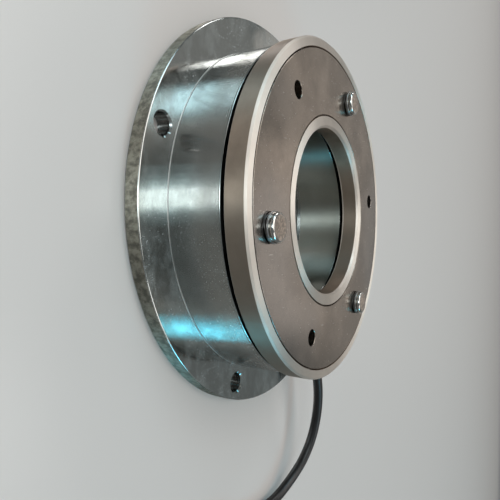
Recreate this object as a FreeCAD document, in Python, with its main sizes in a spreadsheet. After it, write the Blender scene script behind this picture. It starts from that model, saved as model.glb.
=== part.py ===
import FreeCAD, Part
import math
import os
import re

import Sketcher
from FreeCAD import Placement, Rotation, Vector

# Flange-mounted electromagnetic brake, in millimetres.
# +Z runs along the brake's axis. The flange's back face lies at Z = 0, with the axis at X = Y = 0.
# Power in the coil pulls the armature back onto the friction lining. Its pins slide in the drive plate,
# which turns with the machine, and wavy spring washers under the pins' washers push the armature off again.

DOCUMENT = FreeCAD.newDocument("electromagnetic_brake")
FULL_TURN = 360.0
UP = Vector(0, 0, 1)

# Driving dimensions: name, value in millimetres or degrees, what it is
DRIVING_DIMENSIONS = [
    ("flange_width", 16.0, "how far the mounting flange stands out from the drum"),
    ("flange_thickness", 6.8, "mounting flange"),
    ("flange_hole_diameter", 9.0, "fixing holes in the flange"),
    ("flange_hole_inset", 8.0, "fixing holes in from the flange's rim"),
    ("flange_hole_count", 4, "fixing holes"),
    ("flange_hole_angle", -19.0, "first fixing hole, from +X"),
    ("pilot_diameter", 100.0, "centring recess in the flange's back"),
    ("pilot_depth", 5.5, "centring recess"),
    ("drum_height", 24.1, "flange front to pole faces"),
    ("magnet_bore", 86.0, "shaft passage through the magnet body"),
    ("inner_pole_wall", 7.2, "wall between bore and coil pocket"),
    ("pocket_width", 24.2, "coil pocket between its two walls"),
    ("outer_pole_wall", 4.6, "wall between coil pocket and drum surface"),
    ("back_web", 6.9, "steel between centring recess and coil pocket"),
    ("edge_chamfer", 0.45, "broken edges of the magnet body"),
    ("lining_thickness", 5.7, "friction lining"),
    ("lining_proud", 1.7, "how far the lining stands out of the pole faces"),
    ("lining_chamfer", 0.5, "rims of the lining"),
    ("working_gap", 0.5, "armature back to lining with the power off"),
    ("bobbin_wall", 1.5, "walls of the coil bobbin"),
    ("bobbin_lip", 1.0, "how far the bobbin's cheeks stand past the wrap"),
    ("lead_channel", 5.2, "free width round the coil for the leads"),
    ("wrap_thickness", 0.6, "insulating wrap on the winding"),
    ("resin_thickness", 2.0, "casting resin over the bobbin"),
    ("pocket_clearance", 0.2, "parts in the coil pocket to its walls"),
    ("seat_clearance", 0.1, "stacked parts in the coil pocket"),
    ("armature_overhang", 1.0, "how far the armature stands out past the drum"),
    ("armature_thickness", 9.2, "armature, back to front"),
    ("armature_bore", 80.0, "bore of the armature"),
    ("collar_width", 5.3, "armature's inner collar beside the drive plate"),
    ("rim_width", 4.3, "armature's outer rim beside the drive plate"),
    ("armature_front_chamfer", 0.85, "outer front edge of the armature"),
    ("armature_back_chamfer", 0.3, "outer back edge of the armature"),
    ("armature_bore_chamfer", 1.0, "both ends of the armature's bore"),
    ("plate_thickness", 4.0, "drive plate"),
    ("plate_edge_gap", 0.65, "drive plate to rim and to collar"),
    ("plate_seat_gap", 0.05, "drive plate to the recess floor"),
    ("plate_chamfer", 0.25, "edges of the drive plate"),
    ("pin_circle", 124.0, "pitch circle of the drive pins and of the plate's fixing holes"),
    ("pin_count", 3, "drive pins, and as many fixing holes between them"),
    ("pin_angle", 39.5, "first drive pin, from +X"),
    ("plate_hole_diameter", 7.6, "fixing holes of the drive plate"),
    ("bolt_room_diameter", 15.0, "room in the armature behind each fixing hole"),
    ("shoulder_diameter", 8.0, "drive pins where they slide in the bushes"),
    ("shoulder_clearance", 0.05, "pin shoulder to bush, on the radius"),
    ("tail_diameter", 6.0, "drive pins where they are riveted into the armature"),
    ("rivet_diameter", 9.0, "spread tail of the drive pins"),
    ("rivet_clearance", 0.02, "pin tail to armature, and bush to plate, on the radius"),
    ("head_diameter", 12.0, "heads of the drive pins"),
    ("head_height", 2.2, "heads of the drive pins"),
    ("head_round", 1.2, "rounding of the heads"),
    ("bush_diameter", 10.5, "guide bushes, outside"),
    ("washer_diameter", 12.6, "flat washers, outside"),
    ("washer_thickness", 0.7, "flat washers"),
    ("washer_clearance", 0.25, "washers to pin shoulder, on the radius"),
    ("spring_height", 1.0, "wavy spring washers as fitted"),
    ("spring_strip", 0.4, "thickness of a wavy spring washer"),
    ("spring_rim", 0.2, "spring washer inside the flat washer's edge"),
    ("spring_waves", 3, "waves round a spring washer"),
    ("spring_play", 0.02, "spring washer to what it bears on"),
    ("cable_diameter", 5.5, "sheath of the cable"),
    ("cable_angle", 24.0, "where the cable leaves the drum, from +X"),
    ("outlet_height", 12.2, "cable outlet above the flange's front"),
    ("outlet_diameter", 9.2, "hole for the grommet in the drum wall"),
    ("grommet_length", 10.0, "grommet outside the drum wall"),
    ("grommet_flange", 11.4, "grommet flange inside the pocket"),
    ("grommet_flange_thickness", 1.2, "grommet flange inside the pocket"),
    ("grommet_collar", 14.0, "grommet collar on the drum"),
    ("grommet_collar_thickness", 2.0, "grommet collar on the drum"),
    ("grommet_shank", 12.0, "ribbed part of the grommet beside its collar"),
    ("grommet_tip", 8.4, "grommet at its outer end"),
    ("grommet_rib", 0.8, "ribs of the grommet above their grooves"),
    ("grommet_play", 0.05, "grommet to drum wall and to sheath"),
    ("core_diameter", 1.4, "insulated cores and coil leads"),
    ("core_spacing", 2.2, "between the two cores"),
    ("core_bend", 2.2, "bend of a core into the channel"),
    ("sleeve_diameter", 3.0, "splice sleeves"),
    ("coil_x", 190.0, "centre of the stored cable coil"),
    ("coil_y", -38.0, "centre of the stored cable coil"),
    ("coil_middle_diameter", 60.0, "stored coil, at the middle of its turns"),
    ("coil_lift", 1.25, "stored coil above the floor, on its tie"),
    ("turn_spacing", 5.6, "between neighbouring turns"),
    ("tie_width", 5.0, "strap of the cable tie"),
    ("tie_thickness", 1.0, "strap of the cable tie"),
    ("tie_gap", 0.2, "strap to coil"),
    ("tie_angle", 60.0, "where the tie sits on the coil"),
]
SIZE_NAMES = [name for name, amount, meaning in DRIVING_DIMENSIONS]

# Levels above the flange's back, and radii from the axis, worked out from the driving dimensions
POLE_FACE = "(flange_thickness + drum_height)"
LINING_FRONT = f"({POLE_FACE} + lining_proud)"
LINING_BACK = f"({LINING_FRONT} - lining_thickness)"
ARMATURE_BACK = f"({LINING_FRONT} + working_gap)"
FRONT = f"({ARMATURE_BACK} + armature_thickness)"
POCKET_FLOOR = "(pilot_depth + back_web)"
POCKET_INSIDE = "(magnet_bore / 2 + inner_pole_wall)"
POCKET_OUTSIDE = f"({POCKET_INSIDE} + pocket_width)"
DRUM_RADIUS = f"({POCKET_OUTSIDE} + outer_pole_wall)"
FLANGE_RADIUS = f"({DRUM_RADIUS} + flange_width)"
WRAP_OUTSIDE = f"({POCKET_OUTSIDE} - lead_channel)"
BOBBIN_INSIDE = f"({POCKET_INSIDE} + pocket_clearance)"
BOBBIN_BOTTOM = f"({POCKET_FLOOR} + seat_clearance)"
BOBBIN_TOP = f"({LINING_BACK} - resin_thickness - 2 * seat_clearance)"
RECESS_FLOOR = "(armature_thickness - plate_thickness - plate_seat_gap)"
ARMATURE_RADIUS = f"({DRUM_RADIUS} + armature_overhang)"
RECESS_OUTSIDE = f"({ARMATURE_RADIUS} - rim_width)"
COLLAR_RADIUS = "(armature_bore / 2 + collar_width)"
OUTLET_FACE = f"({DRUM_RADIUS} + grommet_length)"
CABLE_LEVEL = "(flange_thickness + outlet_height)"


def fill_sheet():
    """Puts each driving dimension in a row of its own, under its name."""
    table = DOCUMENT.addObject("Spreadsheet::Sheet", "sizes")
    for row, (name, amount, meaning) in enumerate(DRIVING_DIMENSIONS, start=1):
        table.set(f"A{row}", name)
        table.set(f"B{row}", str(amount))
        table.set(f"C{row}", meaning)
        table.setAlias(f"B{row}", name)
    DOCUMENT.recompute()
    return table


SHEET = fill_sheet()


def bound(formula):
    """Turns the names of driving dimensions in a formula into references to the sheet."""
    return re.sub(
        r"[a-z][a-z_]*",
        lambda word: f"sizes.{word[0]}" if word[0] in SIZE_NAMES else word[0],
        formula,
    )


def size(formula):
    """The present value of a formula."""
    return float(SHEET.evalExpression(bound(formula)))


def new_body(name):
    body = DOCUMENT.addObject("PartDesign::Body", name)
    body.Label = name
    return body


def place(item, level="0", turn="0", x="0", y="0"):
    """Puts a sub-part at a level and turns it about the vertical, by formulas."""
    item.setExpression("Placement.Base.x", bound(x))
    item.setExpression("Placement.Base.y", bound(y))
    item.setExpression("Placement.Base.z", bound(level))
    item.setExpression("Placement.Rotation.Angle", bound(turn))


def sketch_on(body, name, role, offset="0"):
    """A sketch on one of the body's own origin planes, moved along the plane's normal."""
    plane = next(item for item in body.Origin.OriginFeatures if item.Role == role)
    sketch = body.newObject("Sketcher::SketchObject", name)
    sketch.AttachmentSupport = [(plane, "")]
    sketch.MapMode = "FlatFace"
    sketch.setExpression("AttachmentOffset.Base.z", bound(offset))
    return sketch


def fix_point(sketch, geometry, point, across, along):
    """Dimensions a point from the sketch's origin, by formulas."""
    for direction, formula in (("DistanceX", across), ("DistanceY", along)):
        number = sketch.addConstraint(
            Sketcher.Constraint(direction, -1, 1, geometry, point, size(formula))
        )
        sketch.setExpression(f"Constraints[{number}]", bound(formula))


def draw_outline(sketch, corners):
    """A closed outline of straight lines, each corner dimensioned by two formulas."""
    spots = [Vector(size(across), size(along), 0) for across, along in corners]
    count = len(spots)
    for number in range(count):
        line = Part.LineSegment(spots[number], spots[(number + 1) % count])
        sketch.addGeometry(line, False)
    for number, (across, along) in enumerate(corners):
        sketch.addConstraint(Sketcher.Constraint("Coincident", number, 2, (number + 1) % count, 1))
        fix_point(sketch, number, 1, across, along)


def draw_circle(sketch, across, along, diameter):
    """A circle with its centre and its diameter dimensioned by formulas."""
    centre = Vector(size(across), size(along), 0)
    sketch.addGeometry(Part.Circle(centre, UP, size(diameter) / 2), False)
    number = sketch.addConstraint(Sketcher.Constraint("Diameter", 0, size(diameter)))
    sketch.setExpression(f"Constraints[{number}]", bound(diameter))
    fix_point(sketch, 0, 3, across, along)


def turned(name, corners):
    """A turned piece: its half section, radius and height at each corner, spun about the vertical."""
    body = new_body(name)
    sketch = sketch_on(body, f"{name}_section", "XZ_Plane")
    draw_outline(sketch, corners)
    solid = body.newObject("PartDesign::Revolution", f"{name}_turned")
    solid.Profile = sketch
    solid.ReferenceAxis = (sketch, ["V_Axis"])
    solid.Angle = FULL_TURN
    DOCUMENT.recompute()
    return body


def checked_cut(body, before, name):
    """Raises an error if a cut took nothing away."""
    if body.Shape.Volume > before - 1.0:
        raise RuntimeError(f"{name} cuts nothing")


def bored_holes(body, name, across, along, diameter, count):
    """Straight holes through the whole piece, evenly spaced about its axis."""
    before = body.Shape.Volume
    sketch = sketch_on(body, f"{name}_circle", "XY_Plane")
    draw_circle(sketch, across, along, diameter)
    cut = body.newObject("PartDesign::Pocket", f"{name}_bore")
    cut.Profile = sketch
    cut.Type = "ThroughAll"
    cut.Reversed = True
    DOCUMENT.recompute()
    spread_about_axis(body, sketch, cut, name, count)
    checked_cut(body, before, name)


def spread_about_axis(body, sketch, feature, name, count):
    """Repeats a feature evenly about the piece's axis."""
    ring = body.newObject("PartDesign::PolarPattern", f"{name}_ring")
    ring.Originals = [feature]
    ring.Axis = (sketch, ["N_Axis"])
    ring.Angle = FULL_TURN
    ring.setExpression("Occurrences", bound(count))
    body.Tip = ring
    DOCUMENT.recompute()


def mouthed_holes(body, name, level, across, along, diameter, mouth, count, upwards=False):
    """Through holes with a right-angled cone at the mouth, evenly spaced about the piece's axis."""
    before = body.Shape.Volume
    sketch = sketch_on(body, f"{name}_circle", "XY_Plane", level)
    draw_circle(sketch, across, along, diameter)
    DOCUMENT.recompute()
    hole = body.newObject("PartDesign::Hole", f"{name}_drilled")
    hole.Profile = sketch
    DOCUMENT.recompute()
    hole.setExpression("Diameter", bound(diameter))
    hole.DepthType = "ThroughAll"
    hole.HoleCutType = "Countersink"
    hole.HoleCutCountersinkAngle = 90.0
    hole.setExpression("HoleCutDiameter", bound(mouth))
    hole.Reversed = upwards
    DOCUMENT.recompute()
    spread_about_axis(body, sketch, hole, name, count)
    checked_cut(body, before, name)


def washer(name, outside, inside, height, level, turn="0", radius="0"):
    """A plain flat ring, made of two cylinders, at a radius and an angle from the axis."""
    disc = DOCUMENT.addObject("Part::Cylinder", f"{name}_disc")
    hole = DOCUMENT.addObject("Part::Cylinder", f"{name}_hole")
    for cylinder, rounding in ((disc, outside), (hole, inside)):
        cylinder.setExpression("Radius", bound(rounding))
        cylinder.setExpression("Height", bound(height))
    ring = DOCUMENT.addObject("Part::Cut", name)
    ring.Label = name
    ring.Base = disc
    ring.Tool = hole
    across = f"({radius}) * cos({turn})"
    along = f"({radius}) * sin({turn})"
    place(ring, level=level, x=across, y=along)
    return ring


def free_shape(name, shape, placement=None):
    """A piece whose form the sheet's values give through plain geometry."""
    item = DOCUMENT.addObject("Part::Feature", name)
    item.Label = name
    item.Shape = shape
    if placement is not None:
        item.Placement = placement
    return item


def pipe(edges, diameter):
    """A round solid along edges that run on smoothly."""
    path = Part.Wire(edges)
    start = path.OrderedEdges[0]
    begin = start.valueAt(start.FirstParameter)
    heading = start.tangentAt(start.FirstParameter)
    section = Part.Wire(Part.makeCircle(diameter / 2, begin, heading))
    solid = path.makePipeShell([section], True, False)
    if solid.Volume < 0:
        solid.reverse()
    return solid


def route_edges(points):
    """Straight runs through points, joined by tangent arcs as large as the runs allow."""
    share_of_run = 0.45
    edges = []
    radii = []
    here = points[0]
    for before, corner, after in zip(points, points[1:], points[2:]):
        arriving = (corner - before).normalize()
        leaving = (after - corner).normalize()
        half_turn = arriving.getAngle(leaving) / 2
        reach = share_of_run * min((corner - before).Length, (after - corner).Length)
        radius = reach / math.tan(half_turn)
        inward = (leaving - arriving).normalize()
        centre = corner + inward * (radius / math.cos(half_turn))
        arc_start = corner - arriving * reach
        arc_end = corner + leaving * reach
        edges.append(Part.LineSegment(here, arc_start).toShape())
        edges.append(Part.Arc(arc_start, centre - inward * radius, arc_end).toShape())
        radii.append(radius)
        here = arc_end
    edges.append(Part.LineSegment(here, points[-1]).toShape())
    return edges, radii


def cord_tube(name, points, diameter):
    """A plain tube along a cord's route. Prints its length, bends and volume beside section times length."""
    edges, radii = route_edges(points)
    solid = pipe(edges, diameter)
    length = sum(edge.Length for edge in edges)
    expected = math.pi * diameter**2 / 4 * length
    print(f"{name}: length {length:.1f}, volume {solid.Volume:.1f} for {expected:.1f},",
          "bend radii", ", ".join(f"{radius:.1f}" for radius in radii))
    return free_shape(name, solid), length


def make_magnet_body():
    """Flange and drum turned from one piece. Its own +X points at the cable outlet."""
    body = turned("magnet_body", [
        ("magnet_bore / 2", "pilot_depth + edge_chamfer"),
        ("magnet_bore / 2 + edge_chamfer", "pilot_depth"),
        ("pilot_diameter / 2", "pilot_depth"),
        ("pilot_diameter / 2", "edge_chamfer"),
        ("pilot_diameter / 2 + edge_chamfer", "0"),
        (f"{FLANGE_RADIUS} - edge_chamfer", "0"),
        (FLANGE_RADIUS, "edge_chamfer"),
        (FLANGE_RADIUS, "flange_thickness - edge_chamfer"),
        (f"{FLANGE_RADIUS} - edge_chamfer", "flange_thickness"),
        (DRUM_RADIUS, "flange_thickness"),
        (DRUM_RADIUS, f"{POLE_FACE} - edge_chamfer"),
        (f"{DRUM_RADIUS} - edge_chamfer", POLE_FACE),
        (POCKET_OUTSIDE, POLE_FACE),
        (POCKET_OUTSIDE, POCKET_FLOOR),
        (POCKET_INSIDE, POCKET_FLOOR),
        (POCKET_INSIDE, POLE_FACE),
        ("magnet_bore / 2 + edge_chamfer", POLE_FACE),
        ("magnet_bore / 2", f"{POLE_FACE} - edge_chamfer"),
    ])
    add_flange_holes(body)
    add_cable_outlet(body)
    place(body, turn="cable_angle")


def add_flange_holes(body):
    """Fixing holes with broken front edges, all round the flange."""
    hole_angle = "(flange_hole_angle - cable_angle)"
    across = f"({FLANGE_RADIUS} - flange_hole_inset) * cos({hole_angle})"
    along = f"({FLANGE_RADIUS} - flange_hole_inset) * sin({hole_angle})"
    mouth = "flange_hole_diameter + 2 * edge_chamfer"
    mouthed_holes(body, "flange_hole", "flange_thickness", across, along, "flange_hole_diameter", mouth,
                  "flange_hole_count")


def add_cable_outlet(body):
    """Round hole through the drum's wall, from the coil pocket outwards along the body's +X."""
    before = body.Shape.Volume
    start = f"{POCKET_OUTSIDE} - lead_channel / 2"
    sketch = sketch_on(body, "outlet_circle", "YZ_Plane", start)
    draw_circle(sketch, "0", CABLE_LEVEL, "outlet_diameter")
    cut = body.newObject("PartDesign::Pocket", "outlet_bore")
    cut.Profile = sketch
    cut.Reversed = True
    cut.setExpression("Length", bound("lead_channel + outer_pole_wall"))
    DOCUMENT.recompute()
    checked_cut(body, before, "outlet_bore")


def make_coil():
    """Bobbin with two cheeks, winding, wrap, and the resin that closes the pocket over them."""
    cheek = f"({WRAP_OUTSIDE} + bobbin_lip)"
    core = f"({BOBBIN_INSIDE} + bobbin_wall)"
    turned("coil_bobbin", [
        (BOBBIN_INSIDE, BOBBIN_BOTTOM),
        (cheek, BOBBIN_BOTTOM),
        (cheek, f"{BOBBIN_BOTTOM} + bobbin_wall"),
        (core, f"{BOBBIN_BOTTOM} + bobbin_wall"),
        (core, f"{BOBBIN_TOP} - bobbin_wall"),
        (cheek, f"{BOBBIN_TOP} - bobbin_wall"),
        (cheek, BOBBIN_TOP),
        (BOBBIN_INSIDE, BOBBIN_TOP),
    ])
    level = f"{BOBBIN_BOTTOM} + bobbin_wall + seat_clearance"
    height = f"{BOBBIN_TOP} - {BOBBIN_BOTTOM} - 2 * bobbin_wall - 2 * seat_clearance"
    wrap_inside = f"({WRAP_OUTSIDE} - wrap_thickness)"
    washer("coil_winding", f"{wrap_inside} - seat_clearance", f"{core} + seat_clearance", height, level)
    washer("coil_wrap", WRAP_OUTSIDE, wrap_inside, height, level)
    washer("resin_ring", f"{POCKET_OUTSIDE} - pocket_clearance", BOBBIN_INSIDE, "resin_thickness",
           f"{BOBBIN_TOP} + seat_clearance")


def make_friction_lining():
    """Lining ring between the two poles, standing proud of both."""
    inside = f"({POCKET_INSIDE} + pocket_clearance)"
    outside = f"({POCKET_OUTSIDE} - pocket_clearance)"
    turned("friction_lining", [
        (inside, LINING_BACK),
        (outside, LINING_BACK),
        (outside, f"{LINING_FRONT} - lining_chamfer"),
        (f"{outside} - lining_chamfer", LINING_FRONT),
        (f"{inside} + lining_chamfer", LINING_FRONT),
        (inside, f"{LINING_FRONT} - lining_chamfer"),
    ])


def make_armature():
    """Armature disc: outer rim, inner collar, and between them the recess for the drive plate."""
    bore = "armature_bore / 2"
    rim = ARMATURE_RADIUS
    top = "armature_thickness"
    body = turned("armature", [
        (bore, "armature_bore_chamfer"),
        (f"{bore} + armature_bore_chamfer", "0"),
        (f"{rim} - armature_back_chamfer", "0"),
        (rim, "armature_back_chamfer"),
        (rim, f"{top} - armature_front_chamfer"),
        (f"{rim} - armature_front_chamfer", top),
        (RECESS_OUTSIDE, top),
        (RECESS_OUTSIDE, RECESS_FLOOR),
        (COLLAR_RADIUS, RECESS_FLOOR),
        (COLLAR_RADIUS, top),
        (f"{bore} + armature_bore_chamfer", top),
        (bore, f"{top} - armature_bore_chamfer"),
    ])
    mouthed_holes(body, "tail_hole", "0", "pin_circle / 2", "0", "tail_diameter + 2 * rivet_clearance",
                  "rivet_diameter + 2 * rivet_clearance", "pin_count", upwards=True)
    between = "(180 / pin_count)"
    across = f"pin_circle / 2 * cos({between})"
    along = f"pin_circle / 2 * sin({between})"
    bored_holes(body, "bolt_room", across, along, "bolt_room_diameter", "pin_count")
    place(body, level=ARMATURE_BACK, turn="pin_angle")


def make_drive_plate():
    """Ring plate that lies flush in the armature, with bush holes at the pins and fixing holes between."""
    inside = f"({COLLAR_RADIUS} + plate_edge_gap)"
    outside = f"({RECESS_OUTSIDE} - plate_edge_gap)"
    body = turned("drive_plate", [
        (inside, "plate_chamfer"),
        (f"{inside} + plate_chamfer", "0"),
        (f"{outside} - plate_chamfer", "0"),
        (outside, "plate_chamfer"),
        (outside, "plate_thickness - plate_chamfer"),
        (f"{outside} - plate_chamfer", "plate_thickness"),
        (f"{inside} + plate_chamfer", "plate_thickness"),
        (inside, "plate_thickness - plate_chamfer"),
    ])
    bored_holes(body, "bush_hole", "pin_circle / 2", "0", "bush_diameter + 2 * rivet_clearance", "pin_count")
    between = "(180 / pin_count)"
    across = f"pin_circle / 2 * cos({between})"
    along = f"pin_circle / 2 * sin({between})"
    bored_holes(body, "fixing_hole", across, along, "plate_hole_diameter", "pin_count")
    place(body, level=f"{FRONT} - plate_thickness", turn="pin_angle")


def make_drive_pin(name, turn):
    """Headed pin: tail riveted into the armature, shoulder sliding in its bush, round-edged flat head."""
    neck = "spring_height + washer_thickness + 2 * spring_play"
    under_head = f"(armature_thickness + {neck})"
    crown = f"({under_head} + head_height)"
    body = turned(name, [
        ("0", "0"),
        ("rivet_diameter / 2", "0"),
        ("tail_diameter / 2", "(rivet_diameter - tail_diameter) / 2"),
        ("tail_diameter / 2", RECESS_FLOOR),
        ("shoulder_diameter / 2", RECESS_FLOOR),
        ("shoulder_diameter / 2", under_head),
        ("head_diameter / 2", under_head),
        ("head_diameter / 2", crown),
        ("0", crown),
    ])
    solid = body.Tip
    edges = [f"Edge{number}" for number, edge in enumerate(solid.Shape.Edges, start=1)
             if is_circle_at(edge, size("head_diameter / 2"), size(crown))]
    rounding = body.newObject("PartDesign::Fillet", f"{name}_round")
    rounding.Base = (solid, edges)
    rounding.setExpression("Radius", bound("head_round"))
    body.Tip = rounding
    DOCUMENT.recompute()
    place(body, level=ARMATURE_BACK, x=f"pin_circle / 2 * cos({turn})", y=f"pin_circle / 2 * sin({turn})")


def is_circle_at(edge, radius, level):
    """Whether an edge is a circle of that radius at that height."""
    curve = edge.Curve
    if not isinstance(curve, Part.Circle):
        return False
    return abs(curve.Radius - radius) < 1e-4 and abs(curve.Center.z - level) < 1e-4


def wavy_ring(inner, outer, height, strip, waves):
    """A spring washer: a flat strip of even thickness whose height runs in sine waves round the ring."""
    swing = (height - strip) / 2
    points_per_wave = 12
    count = int(waves) * points_per_wave

    def rim(radius, lift):
        """One closed wavy edge of the washer."""
        spots = []
        for number in range(count):
            angle = 2 * math.pi * number / count
            level = lift + swing * (1 + math.sin(waves * angle))
            spots.append(Vector(radius * math.cos(angle), radius * math.sin(angle), level))
        curve = Part.BSplineCurve()
        curve.interpolate(spots, PeriodicFlag=True)
        return curve.toShape()

    low_inner, low_outer = rim(inner, 0), rim(outer, 0)
    high_inner, high_outer = rim(inner, strip), rim(outer, strip)
    pairs = ((low_inner, low_outer), (high_inner, high_outer), (low_inner, high_inner), (low_outer, high_outer))
    skin = Part.Shell([Part.makeRuledSurface(first, second) for first, second in pairs])
    skin.sewShape()
    solid = Part.Solid(skin)
    if solid.Volume < 0:
        solid.reverse()
    return solid


def make_pin_set(number):
    """Pin, flat washer, wavy spring washer and guide bush at one of the drive pins."""
    turn = f"(pin_angle + 360 / pin_count * {number - 1})"
    radius = "pin_circle / 2"
    make_drive_pin(f"drive_pin_{number}", turn)
    bore = "(shoulder_diameter / 2 + washer_clearance)"
    washer(f"flat_washer_{number}", "washer_diameter / 2", bore, "washer_thickness",
           f"{FRONT} + spring_height + 2 * spring_play", turn, radius)
    shape = wavy_ring(size(bore), size("washer_diameter / 2 - spring_rim"), size("spring_height"),
                      size("spring_strip"), size("spring_waves"))
    spot = Vector(size(f"{radius} * cos({turn})"), size(f"{radius} * sin({turn})"), size(f"{FRONT} + spring_play"))
    free_shape(f"spring_washer_{number}", shape, Placement(spot, Rotation(UP, size(turn))))
    washer(f"guide_bush_{number}", "bush_diameter / 2", "shoulder_diameter / 2 + shoulder_clearance",
           "plate_thickness", f"{FRONT} - plate_thickness", turn, radius)


def make_grommet():
    """Rubber grommet, turned about the cable's line: flange in the pocket, collar on the drum, ribbed tip."""
    body = new_body("cable_grommet")
    sketch = sketch_on(body, "cable_grommet_section", "XY_Plane")
    bore = "(cable_diameter / 2 + grommet_play)"
    neck = "(outlet_diameter / 2 - grommet_play)"
    flange = "(grommet_flange / 2)"
    wall = f"(sqrt({POCKET_OUTSIDE} ^ 2 - {flange} ^ 2) - grommet_play)"
    drum = f"({DRUM_RADIUS} + grommet_play)"
    collar_end = f"({drum} + grommet_collar_thickness)"
    corners = [
        (f"{wall} - grommet_flange_thickness", bore),
        (f"{wall} - grommet_flange_thickness", flange),
        (wall, flange),
        (wall, neck),
        (drum, neck),
        (drum, "grommet_collar / 2"),
        (collar_end, "grommet_collar / 2"),
    ]
    rib_count = 3
    reach = f"({OUTLET_FACE} - {collar_end})"
    for rib in range(rib_count):
        groove_start = f"({collar_end} + {reach} * {rib} / {rib_count})"
        rib_start = f"({collar_end} + {reach} * ({rib} + 0.5) / {rib_count})"
        rib_end = f"({collar_end} + {reach} * ({rib} + 1) / {rib_count})"
        rib_radius = f"(grommet_shank / 2 - (grommet_shank - grommet_tip) / 2 * {rib} / {rib_count})"
        corners += [
            (groove_start, f"{rib_radius} - grommet_rib"),
            (rib_start, f"{rib_radius} - grommet_rib"),
            (rib_start, rib_radius),
            (rib_end, rib_radius),
        ]
    corners.append((OUTLET_FACE, bore))
    draw_outline(sketch, corners)
    solid = body.newObject("PartDesign::Revolution", "cable_grommet_turned")
    solid.Profile = sketch
    solid.ReferenceAxis = (sketch, ["H_Axis"])
    solid.Angle = FULL_TURN
    DOCUMENT.recompute()
    place(body, level=CABLE_LEVEL, turn="cable_angle")


def outlet_placement():
    """Turns what is drawn along +X onto the line of the cable outlet."""
    return Placement(Vector(0, 0, size(CABLE_LEVEL)), Rotation(UP, size("cable_angle")))


def make_sheath_end():
    """The stretch of the cable's sheath that the grommet holds."""
    sheath = DOCUMENT.addObject("Part::Cylinder", "cable_sheath_end")
    sheath.Label = "cable_sheath_end"
    sheath.setExpression("Radius", bound("cable_diameter / 2"))
    start = f"({POCKET_OUTSIDE} + outer_pole_wall / 4)"
    sheath.setExpression("Height", bound(f"{OUTLET_FACE} - {start}"))
    begin = Vector(size(start), 0, 0)
    along_x = Placement(begin, Rotation(Vector(0, 1, 0), 90))
    sheath.Placement = outlet_placement().multiply(along_x)


def channel_point(radius, angle, side):
    """A point in the lead channel, by its radius and its angle in degrees from the cable's line."""
    turn = math.radians(angle)
    return Vector(radius * math.cos(turn), side * radius * math.sin(turn), 0)


def channel_arc(radius, start, end, side):
    """An arc along the lead channel between two angles."""
    middle = channel_point(radius, (start + end) / 2, side)
    return Part.Arc(channel_point(radius, start, side), middle, channel_point(radius, end, side)).toShape()


def make_leads():
    """Two cores from the sheath into the channel, a splice sleeve on each, and the leads into the coil."""
    sleeve_start, sleeve_end, lead_end = 9.0, 17.0, 26.0
    middle = size(f"{POCKET_OUTSIDE} - lead_channel / 2")
    bend = size("core_bend")
    offset = size("core_spacing / 2")
    core = size("core_diameter")
    sheath = size(f"{POCKET_OUTSIDE} + outer_pole_wall / 4")
    bend_x = math.sqrt((middle + bend) ** 2 - (offset + bend) ** 2)
    joining = math.degrees(math.atan2(offset + bend, bend_x))
    wrap = size(f"{WRAP_OUTSIDE} + seat_clearance")
    for name, side in (("a", 1), ("b", -1)):
        bend_centre = Vector(bend_x, side * (offset + bend), 0)
        bend_start = Vector(bend_x, side * offset, 0)
        bend_end = channel_point(middle, joining, side)
        halfway = (bend_start + bend_end) * 0.5 - bend_centre
        bend_middle = bend_centre + halfway.normalize() * bend
        edges = [
            Part.LineSegment(Vector(sheath, side * offset, 0), bend_start).toShape(),
            Part.Arc(bend_start, bend_middle, bend_end).toShape(),
            channel_arc(middle, joining, sleeve_start, side),
        ]
        free_shape(f"cable_core_{name}", pipe(edges, core), outlet_placement())
        sleeve = pipe([channel_arc(middle, sleeve_start, sleeve_end, side)], size("sleeve_diameter"))
        free_shape(f"splice_sleeve_{name}", sleeve, outlet_placement())
        turn_centre = channel_point(middle - bend, lead_end, side)
        turn_start = channel_point(middle, lead_end, side)
        inward = channel_point(-1, lead_end, side)
        onward = channel_point(1, lead_end + 90, side)
        turn_end = turn_centre + onward * bend
        turn_middle = turn_centre + (onward - inward).normalize() * bend
        reach = turn_end.Length - wrap
        lead_edges = [
            channel_arc(middle, sleeve_end, lead_end, side),
            Part.Arc(turn_start, turn_middle, turn_end).toShape(),
        ]
        shortest_run = 0.05
        if reach > shortest_run:
            lead_edges.append(Part.LineSegment(turn_end, turn_end + inward * reach).toShape())
        free_shape(f"coil_lead_{name}", pipe(lead_edges, core), outlet_placement())


def make_cable():
    """The free cable: out of the grommet, down to the floor, and along it to the side of the stored coil."""
    turn = math.radians(size("cable_angle"))
    outward = Vector(math.cos(turn), math.sin(turn), 0)
    outlet = outward * size(OUTLET_FACE) + UP * size(CABLE_LEVEL)
    straight_start = 15
    beside_coil = size("coil_x") - coil_side()
    route = [
        outlet,
        outlet + outward * straight_start,
        Vector(112.2, 47.0, 17.6),
        Vector(130.6, 46.7, 14.8),
        Vector(144.6, 40.8, 11.2),
        Vector(153.1, 31.7, 7.8),
        Vector(159.1, 18.2, 5.2),
        Vector(159.7, 4.3, 3.6),
        Vector(156.4, -10.0, 2.9),
        Vector(152.2, -24.3, 3.3),
        Vector(beside_coil, size("coil_y"), 4.0),
    ]
    cord_tube("cable", route, size("cable_diameter"))


def coil_side():
    """How far from the coil's centre a tube lies that just misses its side."""
    near_miss = 0.2
    return size(f"coil_middle_diameter / 2 + turn_spacing / 2 + cable_diameter + {near_miss}")


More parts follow.
